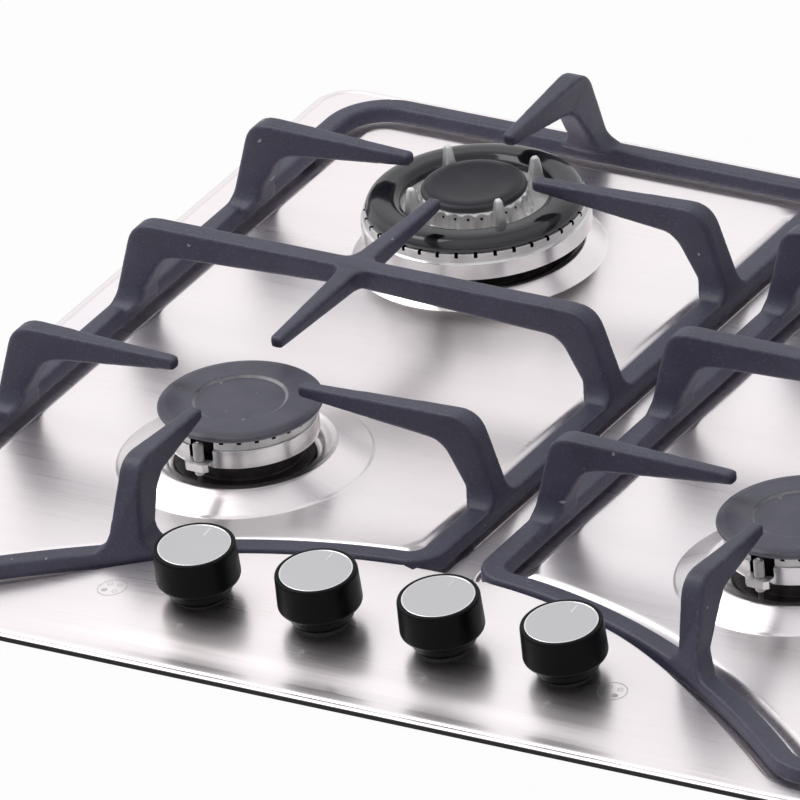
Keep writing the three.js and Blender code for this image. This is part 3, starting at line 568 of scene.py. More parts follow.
def brushed_steel():
    """Stainless steel brushed from left to right: fine streaks, a faint warm and cool cast."""
    steel, skin, place = new_finish("brushed_steel")
    long_way = add_node(steel, "ShaderNodeMapping", {"Vector": place, "Scale": (6, 900, 60)})
    streaks = noise(steel, long_way.outputs[0], 1.0, 6.0, 0.65)
    cloudy = noise(steel, place, 9.0, 2.0)
    cast = two_tones(steel, cloudy, 0.3, (0.90, 0.83, 0.83), 0.7, (0.88, 0.83, 0.84))
    tone = two_tones(steel, streaks, 0.3, (0.96, 0.96, 0.96), 0.7, (1, 1, 1))
    across = add_node(steel, "ShaderNodeVectorTransform", {"Vector": (0, 1, 0)},
                      vector_type="VECTOR", convert_from="OBJECT", convert_to="WORLD")
    skin.inputs["Metallic"].default_value = 1.0
    skin.inputs["Anisotropic"].default_value = 0.45
    connect(steel, skin, {
        "Tangent": across.outputs[0],
        "Base Color": blend(steel, 1.0, cast, tone, "MULTIPLY"),
        "Roughness": spread(steel, streaks, 0.26, 0.33, 0.25, 0.75),
        "Normal": bumps(steel, streaks, 0.04, 0.0002),
    })
    return steel


def face_up(made):
    """Turns a sheet's faces over where they look down."""
    if sum(face.normal.z * face.area for face in made.data.polygons) < 0:
        made.data.flip_normals()


steel = brushed_steel()
plate = make_piece("pressed_plate", plate_shape(), steel, "hob", ["top_plate"])
face_up(plate)
crisp(plate)
thickness = plate.modifiers.new("sheet", "SOLIDIFY")
thickness.thickness = SHEET * MM
thickness.offset = -1


# ---------------------------------------------------------------- panel marks
# Faint printed signs: a grey ring with four small dots at each end of the knob row, the dot of
# a burner filled, and a small white ring and dot in front of each knob.
MARK_LIFT = 0.03
RING_MARKS = {-137: -1, 121: 1}
RING_MARK_Y = -209
DOT_OFF = 2.6
TICK_Y = -229
TICK_OFF = 3.5


def draped(outline_points):
    return [(x, y, plate_z(x, y) + MARK_LIFT) for x, y in outline_points]


def flat_ring(x, y, outer_r, inner_r, steps=40):
    return bands([draped(circle(x, y, outer_r, steps)), draped(circle(x, y, inner_r, steps))])


def flat_dot(x, y, radius, steps=14):
    loop = draped(circle(x, y, radius, steps))
    return loop, [tuple(range(steps))]


def mark_ink(name, dark, pale):
    """Thin printing ink, rubbed in patches, with some of the steel's gloss."""
    ink, skin, place = new_finish(name)
    paler = noise(ink, place, 700.0, 3.0)
    skin.inputs["Metallic"].default_value = 0.7
    skin.inputs["Roughness"].default_value = 0.45
    connect(ink, skin, {"Base Color": two_tones(ink, paler, 0.42, dark, 0.58, pale)})
    return ink


grey_ink = mark_ink("grey_ink", (0.62, 0.60, 0.60), (0.74, 0.72, 0.72))
white_ink = mark_ink("white_ink", (0.86, 0.86, 0.87), (0.95, 0.95, 0.96))
rings = []
for x, side in RING_MARKS.items():
    rings.append(flat_ring(x, RING_MARK_Y, 7, 6.5))
    for dx in (-DOT_OFF, DOT_OFF):
        for dy in (-DOT_OFF, DOT_OFF):
            if dx * side > 0 and dy < 0:
                rings.append(flat_dot(x + dx, RING_MARK_Y + dy, 1.5))
            else:
                rings.append(flat_ring(x + dx, RING_MARK_Y + dy, 1.3, 0.95, 16))
ticks = []
for x in KNOB_XS.values():
    ticks.append(flat_ring(x + TICK_OFF, TICK_Y + 1.8, 1.3, 0.7, 14))
    ticks.append(flat_dot(x + TICK_OFF, TICK_Y - 1.1, 0.6, 8))
for name, shapes, ink in (("ring_marks", rings, grey_ink), ("tick_marks", ticks, white_ink)):
    face_up(make_piece(name, joined(*shapes), ink, "hob"))


# ---------------------------------------------------------------- casing, seal and clamps
# Under the plate hangs a tray of galvanised steel, folded and spot-welded; the rim rests on a
# rubber strip, and a bent bracket with a screw on each side pulls the hob down on the worktop.
def galvanised():
    """Hot-dip zinc, with the pale and dark flakes of its spangle."""
    zinc, skin, place = new_finish("galvanised")
    flakes = add_node(zinc, "ShaderNodeTexVoronoi", {"Vector": place, "Scale": 90.0})
    level = flakes.outputs["Color"]
    skin.inputs["Metallic"].default_value = 1.0
    connect(zinc, skin, {
        "Base Color": two_tones(zinc, level, 0, (0.36, 0.38, 0.39), 1, (0.56, 0.58, 0.60)),
        "Roughness": spread(zinc, level, 0.34, 0.58),
    })
    return zinc


def black_rubber():
    """Dull black rubber with dust in its pores."""
    rubber, skin, place = new_finish("black_rubber")
    dust = noise(rubber, place, 260.0, 5.0)
    grey = two_tones(rubber, dust, 0.35, (0.012, 0.012, 0.013), 0.75, (0.035, 0.034, 0.034))
    skin.inputs["Roughness"].default_value = 0.78
    connect(rubber, skin, {"Base Color": grey, "Normal": bumps(rubber, dust, 0.25, 0.0002)})
    return rubber


def dress(node, finish):
    """Gives a node of the frame its finish; its mesh stays as it is."""
    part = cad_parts[node]
    part.data.materials.clear()
    part.data.materials.append(finish)


zinc = galvanised()
rubber = black_rubber()
for node in ("bottom_casing", "left_worktop_clamp", "right_worktop_clamp"):
    dress(node, zinc)
dress("rim_seal", rubber)


# ---------------------------------------------------------------- burner cups
# A die-cast aluminium cup hangs in each opening of the plate, dark with heat and soot and with
# painted shade under the head. Its flange lies on the seat, its neck carries the burner head, and
# its foot holds the injector.
CUP_FLANGE = {"front_left": 32, "front_right": 32, "rear_right": 22, "rear_left": 45.4}
CAP_TO_NECK, CAP_TO_BORE = 11, 13.4
WOK_NECK_R, WOK_BORE_R = 40, 37.6
GAP = 0.3
ROUND_STEPS = 96


def eased(corners, steps=4):
    """An open outline with some corners rounded: each corner may give a length to cut back."""
    made = []
    for i, corner in enumerate(corners):
        here = Vector(corner[:2])
        back = corner[2] if len(corner) > 2 else 0
        if not back:
            made.append(tuple(here))
            continue
        before, after = Vector(corners[i - 1][:2]), Vector(corners[(i + 1) % len(corners)][:2])
        first = here + (before - here).normalized() * min(back, (before - here).length * 0.49)
        last = here + (after - here).normalized() * min(back, (after - here).length * 0.49)
        for k in range(steps + 1):
            t = k / steps
            made.append(tuple(first * (1 - t) ** 2 + here * 2 * t * (1 - t) + last * t * t))
    return made


def turned(profile, x, y, steps=ROUND_STEPS, ring=False):
    """A turned shape about an upright axis, from its [radius, height] outline."""
    points, rows = [], []
    for r, z in profile:
        if r < 1e-6:
            rows.append([len(points)] * steps)
            points.append((x, y, z))
            continue
        rows.append(range(len(points), len(points) + steps))
        points += [(px, py, z) for px, py in circle(x, y, r, steps)]
    faces = []
    for low, high in zip(rows, rows[1:] + ([rows[0]] if ring else [])):
        for i in range(steps):
            k = (i + 1) % steps
            corners = dict.fromkeys((low[i], low[k], high[k], high[i]))
            if len(corners) > 2:
                faces.append(tuple(corners))
    return points, faces


def cast_aluminium():
    """Die-cast aluminium: a soft grey skin with fine pits and small cloudy stains."""
    cast, skin, place = new_finish("cast_aluminium")
    pits = noise(cast, place, 1100.0, 4.0)
    stain = noise(cast, place, 60.0, 4.0)
    skin.inputs["Metallic"].default_value = 0.85
    skin.inputs["Roughness"].default_value = 0.46
    connect(cast, skin, {
        "Base Color": two_tones(cast, stain, 0.32, (0.66, 0.64, 0.63), 0.62, (0.88, 0.87, 0.865)),
        "Normal": bumps(cast, pits, 0.3, 0.00015),
    })
    return cast


def soot_and_shade_metal(name, dark, pale):
    """Cast aluminium dulled by heat and soot, and darkened further as painted shade under the burner
    heads.
    """
    dull, skin, place = new_finish(name)
    soot_and_shade = noise(dull, place, 130.0, 5.0)
    skin.inputs["Metallic"].default_value = 0.4
    skin.inputs["Roughness"].default_value = 0.6
    skin.inputs["Specular IOR Level"].default_value = 0.2
    connect(dull, skin, {"Base Color": two_tones(dull, soot_and_shade, 0.3, dark, 0.7, pale)})
    return dull


def cup_shape(burner, flange, wok):
    """Foot, bowl, flange and neck of a cup, turned in one."""
    neck = WOK_NECK_R if wok else burner["cap"] - CAP_TO_NECK
    bore = WOK_BORE_R if wok else burner["cap"] - CAP_TO_BORE
    rim = 70.8 if wok else 69.3
    outline = eased([
        (0, 22), (6, 22, 0.6), (7, 24, 0.5), (7, 32, 1), (bore - 2, 38, 3), (neck, 44, 2),
        (neck, PLATEAU_Z + GAP), (flange, PLATEAU_Z + GAP, 0.3), (flange, PLATEAU_Z + 1.3, 0.6),
        (neck, PLATEAU_Z + 1.9, 1), (neck, rim, 0.5), (bore, rim, 0.5), (bore, 44, 1),
        (bore - 5, 41, 2), (0, 41),
    ])
    return turned(outline, burner["x"], burner["y"])


aluminium = cast_aluminium()
# Near-black cup metal: heat and soot, and painted shade under the burner head.
shaded_cup_metal = soot_and_shade_metal("shaded_cup_aluminium", (0.05, 0.045, 0.043), (0.12, 0.11, 0.105))
for name, burner in BURNERS.items():
    shape = cup_shape(burner, CUP_FLANGE[name], name == "rear_left")
    crisp(make_piece(f"{name}_cup", shape, shaded_cup_metal, "hob",
                     [f"{name}_burner_cup"]))


# ---------------------------------------------------------------- burner heads
# A die-cast flame ring with its outer band turned bright. Square flame slots are cut in its upper
# edge, and a notch and a drilled lug make room for the spark plug. The slots, holes, notch and the
# casting under the band are near-black: soot, and painted shade.
CAP_TOP_Z = 91.0
CAP_THICK = 3.9
SLOT_WIDTH = 2.0
SLOT_PITCH = 8.4
BAND_LOW_Z, BAND_HIGH_Z = 73.2, 81.9
LUG_TOP_Z = 77
LUG_HALF_W = 6.2
SPARK_BORE_R = 2.8
CAST, BRIGHT, SOOT_AND_SHADE = 0, 1, 2


def placed(points, x, y, turn):
    """Points in a ray's own [along, across, height], turned and set round a centre."""
    angle = math.radians(turn)
    cosine, sine = math.cos(angle), math.sin(angle)
    return [(x + u * cosine - v * sine, y + u * sine + v * cosine, z) for u, v, z in points]


def capped(loops):
    """Quads between loops, with the first and the last loop filled."""
    points, faces = bands(loops)
    count, last = len(loops[0]), len(points)
    return points, faces + [tuple(range(count)), tuple(range(last - count, last))]


def box_shape(x0, x1, y0, y1, z0, z1, turn, x, y):
    """A box along a ray at an angle from a centre; x0 and x1 are distances from it."""
    points = [(u, v, w) for w in (z0, z1) for v in (y0, y1) for u in (x0, x1)]
    faces = [(0, 1, 3, 2), (4, 6, 7, 5), (0, 4, 5, 1), (2, 3, 7, 6), (0, 2, 6, 4), (1, 5, 7, 3)]
    return placed(points, x, y, turn), faces


def carve(made, shape, operation="DIFFERENCE", finish=CAST):
    """Cuts a closed shape out of a piece, or joins it on; new faces get one of its finishes."""
    points, faces = shape
    mesh = bpy.data.meshes.new("cutter")
    mesh.from_pydata([Vector(p) * MM for p in points], [], faces)
    for owned in made.data.materials:
        mesh.materials.append(owned)
    for face in mesh.polygons:
        face.material_index = finish
    work = bmesh.new()
    work.from_mesh(mesh)
    bmesh.ops.recalc_face_normals(work, faces=work.faces)
    work.to_mesh(mesh)
    work.free()
    cutter = bpy.data.objects.new("cutter", mesh)
    bpy.context.scene.collection.objects.link(cutter)
    change = made.modifiers.new("carve", "BOOLEAN")
    change.object = cutter
    change.operation = operation
    whole = made.evaluated_get(bpy.context.evaluated_depsgraph_get())
    result = bpy.data.meshes.new_from_object(whole)
    made.modifiers.clear()
    old = made.data
    made.data = result
    bpy.data.meshes.remove(old)
    bpy.data.objects.remove(cutter)


def polished_aluminium():
    """Turned aluminium: bright, with fine lathe lines running round and faint heat stains."""
    bright, skin, place = new_finish("polished_aluminium")
    rings = add_node(bright, "ShaderNodeMapping", {"Vector": place, "Scale": (8, 8, 2600)})
    lines = noise(bright, rings.outputs[0], 1.0, 3.0)
    stain = noise(bright, place, 45.0, 4.0)
    skin.inputs["Metallic"].default_value = 1.0
    connect(bright, skin, {
        "Base Color": two_tones(bright, stain, 0.3, (0.66, 0.645, 0.64), 0.6, (0.83, 0.825, 0.83)),
        "Roughness": spread(bright, lines, 0.13, 0.27),
        "Normal": bumps(bright, lines, 0.1, 0.0001),
    })
    return bright


def band_faces(made, centre, low_z, high_z, least_r):
    """Makes the turned band of a flame ring bright, and paints the casting below it near-black as soot
    and painted shade.
    """
    for face in made.data.polygons:
        x, y, z = (value / MM for value in face.center)
        upright = math.hypot(x - centre["x"], y - centre["y"]) > least_r and abs(face.normal.z) < 0.9
        if face.material_index != SOOT_AND_SHADE and upright and low_z - 0.2 < z < high_z + 0.2:
            face.material_index = BRIGHT
        elif z < low_z - 0.1 and face.normal.z < 0.2:
            face.material_index = SOOT_AND_SHADE


def lug_shape(burner, reach, low_z, high_z):
    """The drilled lug for the spark plug, with its outer corners cut off."""
    half = LUG_HALF_W
    out = burner["spark_r"] + 4.4
    plan = [(reach, -half), (out - 2, -half), (out, -half + 2), (out, half - 2), (out - 2, half),
            (reach, half)]
    loops = [[(u, v, z) for u, v in plan] for z in (low_z, high_z)]
    return capped([placed(loop, burner["x"], burner["y"], burner["spark_at"]) for loop in loops])


def spark_place(burner):
    angle = math.radians(burner["spark_at"])
    return (burner["x"] + burner["spark_r"] * math.cos(angle),
            burner["y"] + burner["spark_r"] * math.sin(angle))


def flame_slots(burner, count, r0, r1, z0, z1, width=SLOT_WIDTH, phase=0.0):
    """Boxes that cut a ring's slots, from one radius to another; phase turns them round."""
    return joined(*[
        box_shape(r0, r1, -width / 2, width / 2, z0, z1, phase + 360 * i / count,
                  burner["x"], burner["y"])
        for i in range(count)
    ])


def spark_bore(burner, top):
    return turned([(0, 60), (SPARK_BORE_R, 60), (SPARK_BORE_R, top), (0, top)],
                  *spark_place(burner), steps=24)


def make_head(name, burner):
    """A flame ring with its slots, and the notch, lug and bore for the spark plug."""
    r = burner["cap"] - 3
    bore = burner["cap"] - CAP_TO_BORE
    top = CAP_TOP_Z - CAP_THICK - GAP
    outline = eased([
        (bore - 2.6, 63), (bore - 0.4, 63), (bore - 0.4, 69.6, 0.4), (r - 6, 69.6, 0.6),
        (r - 5, 72.3, 0.8), (r - 1.4, 72.3, 0.4), (r, BAND_LOW_Z, 0.3), (r, BAND_HIGH_Z, 0.3),
        (r - 1.2, BAND_HIGH_Z + 0.3, 0.2), (r - 1.4, top, 0.3), (bore - 2.6, top),
    ])
    head = make_piece(f"{name}_flame_ring", turned(outline, burner["x"], burner["y"], ring=True),
                      aluminium, f"{name}_head", [f"{name}_burner_head"])
    head.data.materials.append(polished)
    head.data.materials.append(soot_and_shade)
    count = round(2 * math.pi * r / SLOT_PITCH)
    slots = flame_slots(burner, count, r - 4.5, r + 1, top - 2.2, top + 1, phase=8)
    notch = box_shape(burner["spark_r"] - 5.8, r + 1, -LUG_HALF_W, LUG_HALF_W, LUG_TOP_Z, top + 1,
                      burner["spark_at"], burner["x"], burner["y"])
    carve(head, slots, finish=SOOT_AND_SHADE)
    carve(head, notch, finish=SOOT_AND_SHADE)
    carve(head, lug_shape(burner, r - 3, BAND_LOW_Z, LUG_TOP_Z), "UNION")
    carve(head, spark_bore(burner, 90), finish=SOOT_AND_SHADE)
    band_faces(head, burner, BAND_LOW_Z, BAND_HIGH_Z, r - 0.4)
    crisp(head)


polished = polished_aluminium()
# Near-black for slots, holes, notch and the head's underside: soot, and painted shade in these
# recesses and under the band.
soot_and_shade = soot_and_shade_metal("slot_soot_and_shade", (0.006, 0.005, 0.005), (0.02, 0.018, 0.017))
for name, burner in BURNERS.items():
    if name != "rear_left":
        make_head(name, burner)


# ---------------------------------------------------------------- burner caps
# A pressed steel lid with matt black enamel. Its middle is sunk a little, and the enamel is
# worn grey along the edge of that dish, with a painted highlight there too, and chipped here and
# there on the rim.
DISH_SHARE = 0.545
CAP_TO_SKIRT = 16.6
WORN_AND_GLINT = 1


def above(finish, level, limit):
    """1 where a level is above a limit, and 0 elsewhere."""
    return add_node(finish, "ShaderNodeMath", {0: level, 1: limit},
                    operation="GREATER_THAN").outputs[0]


def enamel(name, dark, pale, roughness, chips, shine=0.5):
    """Vitreous enamel with fine orange peel; chips is the noise level where it shows steel."""
    coat, skin, place = new_finish(name)
    tone = two_tones(coat, noise(coat, place, 55.0, 3.0), 0.3, dark, 0.7, pale)
    edge = add_node(coat, "ShaderNodeNewGeometry").outputs["Pointiness"]
    sharp = spread(coat, edge, 0.0, 0.7, 0.505, 0.54)
    paler = blend(coat, sharp, tone, (0.42, 0.42, 0.44, 1))
    chipped = above(coat, noise(coat, place, 420.0, 1.0), chips)
    skin.inputs["Roughness"].default_value = roughness
    skin.inputs["Specular IOR Level"].default_value = shine
    connect(coat, skin, {
        "Base Color": blend(coat, chipped, paler, (0.42, 0.42, 0.45, 1)),
        "Normal": bumps(coat, noise(coat, place, 900.0, 3.0), 0.18, 0.0001),
    })
    return coat


def cap_outline(radius, skirt):
    """A lid's outline: its locating skirt, rounded rim, and the dish sunk in its middle."""
    low = CAP_TOP_Z - CAP_THICK
    dish = radius * DISH_SHARE
    return eased([
        (0, low), (skirt - 1.8, low), (skirt - 1.8, low - 3, 0.3), (skirt, low - 3, 0.3), (skirt, low),
        (radius - 1.4, low, 0.5), (radius, low + 1.3, 1.0), (radius - 0.3, CAP_TOP_Z - 1.2, 1.0),
        (radius - 3.4, CAP_TOP_Z, 1.6), (dish + 1.3, CAP_TOP_Z, 0.5),
        (dish - 0.1, CAP_TOP_Z - 1.1, 0.5), (dish - 3, CAP_TOP_Z - 1.2), (0, CAP_TOP_Z - 1.1),
    ])


def make_lid(name, burner):
    """A lid whose dish edge shows the enamel worn pale, with a painted highlight."""
    outline = cap_outline(burner["cap"], burner["cap"] - CAP_TO_SKIRT)
    shape = turned(outline, burner["x"], burner["y"])
    lid = make_piece(f"{name}_lid", shape, matt_enamel, f"{name}_cap",
                     [f"{name}_burner_cap"])
    lid.data.materials.append(worn_and_glint_enamel)
    dish = burner["cap"] * DISH_SHARE
    for face in lid.data.polygons:
        middle = face.center / MM
        r = math.hypot(middle.x - burner["x"], middle.y - burner["y"])
        sloping = face.normal.z > 0.1 and middle.z < CAP_TOP_Z - 0.15
        if sloping and dish - 0.2 < r < dish + 1.3:
            face.material_index = WORN_AND_GLINT
    crisp(lid)


matt_enamel = enamel("matt_enamel", (0.094, 0.091, 0.134), (0.146, 0.141, 0.196), 0.45, 0.79)
# Pale mottled enamel for the dish edge: wear, and a painted highlight.
worn_and_glint_enamel = enamel("worn_and_glint_enamel", (0.12, 0.12, 0.14), (0.8, 0.8, 0.82), 0.4, 0.7)
for name, burner in BURNERS.items():
    if name != "rear_left":
        make_lid(name, burner)


# ---------------------------------------------------------------- wok burner
# The wide rear left burner: a flame ring with an inner fluted crown and four prongs, all one
# casting, under a glossy enamelled ring and a satin enamelled middle lid.
WOK = BURNERS["rear_left"]
WOK_HEAD_R = 53.2
WOK_TOP_Z = 92.2
WOK_RING_INNER_R = 34.2
WOK_BAND_LOW_Z, WOK_BAND_HIGH_Z = 73.6, 81.4
WOK_LUG_TOP_Z = 77.2
WOK_SLOTS = 36
CROWN_R = 26.5
CROWN_HOLE_R = 0.65
FLUTES = 24
PRONG_TURNS = (52, 142, 232, 322)


def fluted_crown():
    """The crown's wall, with a shallow upright flute round it for each flame hole."""
    loops = []
    steps = FLUTES * 12
    for z, depth, taper in ((80.5, 0, 0), (82.4, 0, 0), (83.4, 1, 0.3), (91, 1, 1.6), (91.8, 0.35, 2),
                            (92.5, 0, 2.8)):
        loop = []
        for i in range(steps):
            turn = 2 * math.pi * i / steps
            wave = 0.5 - 0.5 * math.cos(FLUTES * turn)
            r = CROWN_R - taper - 1.7 * depth * wave ** 1.6
            loop.append((WOK["x"] + r * math.cos(turn), WOK["y"] + r * math.sin(turn), z))
        loops.append(loop)
    for z in (92.5, 80.5):
        loops.append([(x, y, z) for x, y in circle(WOK["x"], WOK["y"], 19, steps)])
    return bands(loops, ring=True)


def prong_shape(turn):
    """A cast fin that stands on the trough between the ring and the crown."""
    loops = []
    for z, r0, r1, half in ((80, 24, 35, 3.4), (84, 25, 34.6, 3.2), (90, 26.4, 34, 2.7),
                            (96, 28, 33.2, 2.2), (100.4, 28.9, 32.6, 1.7), (101.3, 29.6, 32, 1.1)):
        ease = min(half, (r1 - r0) / 2) * 0.4
        plan = [(r0 + ease, -half), (r1 - ease, -half), (r1, -half + ease), (r1, half - ease),
                (r1 - ease, half), (r0 + ease, half), (r0, half - ease), (r0, -half + ease)]
        loops.append(placed([(u, v, z) for u, v in plan], WOK["x"], WOK["y"], turn))
    return capped(loops)


def crown_hole(turn):
    """A small round flame hole through the crown's wall, in the middle of a flute."""
    angle = math.radians(turn)
    along = Vector((math.cos(angle), math.sin(angle)))
    across = Vector((-along.y, along.x))
    middle = Vector((WOK["x"], WOK["y"]))
    loops = []
    for reach in (21.5, 26.9):
        loops.append([(*(middle + along * reach + across * c), 89.2 + s)
                      for c, s in circle(0, 0, CROWN_HOLE_R, 10)])
    return capped(loops)


def make_wok_head():
    """The wide flame ring, with the crown and prongs cast on and the flame holes drilled."""
    r, bore = WOK_HEAD_R, WOK_BORE_R
    land = WOK_TOP_Z - 6 - GAP
    outline = eased([
        (bore - 3, 63), (bore - 0.4, 63), (bore - 0.4, 71.1, 0.4), (r - 7, 71.1, 0.5),
        (r - 6, 72.8, 0.6), (r - 1.5, 72.8, 0.4), (r, WOK_BAND_LOW_Z, 0.3),
        (r, WOK_BAND_HIGH_Z, 0.3), (r - 1.4, WOK_BAND_HIGH_Z + 0.4, 0.3), (r - 1.6, land, 0.3),
        (WOK_RING_INNER_R + 1, land, 0.5), (WOK_RING_INNER_R, 83, 0.6), (CROWN_R + 1, 81.6, 0.8),
        (22, 81.6), (19, 81.6), (19, 74), (bore - 3, 74),
    ])
    shape = turned(outline, WOK["x"], WOK["y"], 120, ring=True)
    head = make_piece("rear_left_flame_ring", shape, aluminium, "rear_left_head",
                      ["rear_left_burner_head"])
    head.data.materials.append(polished)
    head.data.materials.append(soot_and_shade)
    slots = flame_slots(WOK, WOK_SLOTS, r - 6, r + 1, land - 1.8, land + 1, 1.7)
    notch = box_shape(WOK["spark_r"] - 5.4, r + 1, -5.2, 5.2, WOK_LUG_TOP_Z, land + 1,
                      WOK["spark_at"], WOK["x"], WOK["y"])
    carve(head, slots, finish=SOOT_AND_SHADE)
    carve(head, fluted_crown(), "UNION")
    for turn in PRONG_TURNS:
        carve(head, prong_shape(turn), "UNION")
    holes = [crown_hole(360 * (i + 0.5) / FLUTES) for i in range(FLUTES)]
    carve(head, joined(*holes), finish=SOOT_AND_SHADE)
    carve(head, notch, finish=SOOT_AND_SHADE)
    carve(head, lug_shape(WOK, r - 3, WOK_BAND_LOW_Z, WOK_LUG_TOP_Z), "UNION")
    carve(head, spark_bore(WOK, 95), finish=SOOT_AND_SHADE)
    band_faces(head, WOK, WOK_BAND_LOW_Z, WOK_BAND_HIGH_Z, r - 0.4)
    crisp(head)


make_wok_head()
gloss_enamel = enamel("gloss_enamel", (0.018, 0.017, 0.024), (0.028, 0.026, 0.036), 0.1, 0.86, 0.42)
ring_low = WOK_TOP_Z - 6.4
ring_outline = eased([
    (WOK_RING_INNER_R, ring_low + 0.9, 0.3), (WOK["cap"] - 3, ring_low + 0.6, 0.3),
    (WOK["cap"] - 1, ring_low, 0.5), (WOK["cap"], ring_low + 1.6, 1.2),
    (WOK["cap"] - 1.8, WOK_TOP_Z - 1.2, 2), (WOK["cap"] - 6, WOK_TOP_Z, 2.8),
    (WOK_RING_INNER_R + 3.4, WOK_TOP_Z - 0.3, 1.8), (WOK_RING_INNER_R, WOK_TOP_Z - 2.6, 1),
    (WOK_RING_INNER_R, ring_low + 1.4),
], 5)
crisp(make_piece("rear_left_ring", turned(ring_outline, WOK["x"], WOK["y"], 120, ring=True),
                 gloss_enamel, "rear_left_ring", ["rear_left_ring_cap"]))
lid_outline = eased([
    (0, 92.8), (16.4, 92.8), (16.4, 90, 0.3), (18.2, 90, 0.3), (18.2, 92.8), (23.8, 92.8, 0.4),
    (24.8, 93.6, 0.7), (23.8, 95.8, 1.2), (20.4, 96.6, 2.2), (12, 95.5, 6), (0, 95.0),
], 5)
satin_enamel = enamel("satin_enamel", (0.040, 0.039, 0.050), (0.058, 0.056, 0.070), 0.36, 0.84, 0.12)
crisp(make_piece("rear_left_lid", turned(lid_outline, WOK["x"], WOK["y"]), satin_enamel,
                 "rear_left_centre", ["rear_left_centre_cap"]))


# ---------------------------------------------------------------- spark plugs
# A glazed ceramic rod in the lug of each head, with a bright tip that sparks to the cap's
# underside. Below it a dull metal pin goes down through the plate, and takes the lead.
def glazed_ceramic():
    """White glazed ceramic, browned here and there by soot."""
    glaze, skin, place = new_finish("glazed_ceramic")
    stain = noise(glaze, place, 150.0, 4.0)
    skin.inputs["Roughness"].default_value = 0.22
    connect(glaze, skin, {
        "Base Color": two_tones(glaze, stain, 0.3, (0.70, 0.66, 0.61), 0.5, (0.90, 0.885, 0.86)),
    })
    return glaze


ceramic = glazed_ceramic()
for name, burner in BURNERS.items():
    roof = WOK_TOP_Z - 6 if name == "rear_left" else CAP_TOP_Z - CAP_THICK
    glazed = turned(eased([
        (0, 69.9), (2.1, 69.9, 0.4), (2.45, 70.6, 0.3), (2.45, roof - 1.7, 0.6), (1.2, roof - 1.3),
        (0, roof - 1.3),
    ]), *spark_place(burner), steps=32)
    post = make_piece(f"{name}_igniter", glazed, ceramic, "hob",
                      [f"{name}_spark_plug"])
    crisp(post)
    wire = turned(eased([(0, 46), (2.2, 46, 0.4), (2.2, 58, 0.3), (1.3, 59, 0.4), (1.3, 71), (0, 71)]),
                  *spark_place(burner), steps=20)
    # The lead takes the near-black cup metal, which is painted shade under the head.
    crisp(make_piece(f"{name}_igniter_lead", wire, shaded_cup_metal, "hob"))
    pin = turned(eased([(0, roof - 2), (0.8, roof - 2), (0.8, roof - 0.5, 0.4), (0, roof - 0.5)]),
                 *spark_place(burner), steps=20)
    crisp(make_piece(f"{name}_igniter_tip", pin, polished, "hob"))


# ---------------------------------------------------------------- gas line and taps
# An aluminium manifold runs behind the front wall to the brass elbow at the rear. Four brass
# taps stand on it, each with a conical plug, a stem and a thin pipe to its burner.
def turned_brass():
    """Bare brass, brown in patches."""
    brass, skin, place = new_finish("turned_brass")
    stain = noise(brass, place, 120.0, 5.0)
    skin.inputs["Metallic"].default_value = 1.0
    connect(brass, skin, {
        "Base Color": two_tones(brass, stain, 0.3, (0.42, 0.28, 0.11), 0.6, (0.62, 0.45, 0.19)),
        "Roughness": spread(brass, stain, 0.25, 0.5),
    })
    return brass


brass = turned_brass()
dress("gas_inlet_elbow", brass)
dress("gas_manifold", aluminium)
for name in KNOB_XS:
    dress(f"{name}_gas_pipe", aluminium)
    for part in ("tap_body", "tap_plug", "tap_stem"):
        dress(f"{name}_{part}", brass)


# ---------------------------------------------------------------- knobs
# A black moulded knob with a narrower skirt, square to the sloping panel, over a thin black rubber
# washer that also paints the shade under the skirt. A brushed aluminium disc with a bright rim and
# a pointer line is glued in its top.
KNOB_TILT = math.radians(5)
PANEL_Z = 63.5
KNOB_R = 19
KNOB_BASE_Z, KNOB_TOP_Z = 67, 90
DISC_R = 16.7
DISC_RIM = 0.75
# The lean carries the middle of the disc this far to the front.
DISC_SHIFT = 2.3
POINTER_FROM, POINTER_TO = 8.4, 15.2
POINTER_WIDTH = 0.72
WASHER_R, WASHER_BORE_R = 12.6, 4.4


def leaned(shape):
    """Leans a knob's shape to the front, about the point where its axis crosses the panel."""
    points, faces = shape
    cosine, sine = math.cos(KNOB_TILT), math.sin(KNOB_TILT)
    made = []
    for x, y, z in points:
        dy, dz = y - KNOB_Y, z - PANEL_Z
        made.append((x, KNOB_Y + dy * cosine - dz * sine, PANEL_Z + dy * sine + dz * cosine))
    return made, faces


def satin_black():
    """Moulded black plastic, satin, with a fine spark-eroded grain and faint wipe marks."""
    black, skin, place = new_finish("satin_black")
    grain = noise(black, place, 1500.0, 2.0)
    wiped = noise(black, place, 130.0, 4.0)
    tone = two_tones(black, grain, 0.35, (0.0012, 0.0016, 0.0018), 0.75, (0.004, 0.005, 0.006))
    skin.inputs["Specular IOR Level"].default_value = 0.1
    connect(black, skin, {
        "Base Color": tone,
        "Roughness": spread(black, wiped, 0.30, 0.46, 0.3, 0.7),
        "Normal": bumps(black, grain, 0.35, 0.0001),
    })
    return black


def brushed_disc():
    """Aluminium disc brushed one way, anodised clear."""
    disc, skin, place = new_finish("brushed_disc")
    long_way = add_node(disc, "ShaderNodeMapping", {"Vector": place, "Scale": (25, 2200, 25)})
    streaks = noise(disc, long_way.outputs[0], 1.0, 5.0, 0.6)
    tone = two_tones(disc, streaks, 0.3, (0.54, 0.528, 0.542), 0.7, (0.565, 0.552, 0.566))
    skin.inputs["Metallic"].default_value = 0.9
    skin.inputs["Roughness"].default_value = 0.38
    connect(disc, skin, {"Base Color": tone, "Normal": bumps(disc, streaks, 0.05, 0.0001)})
    return disc


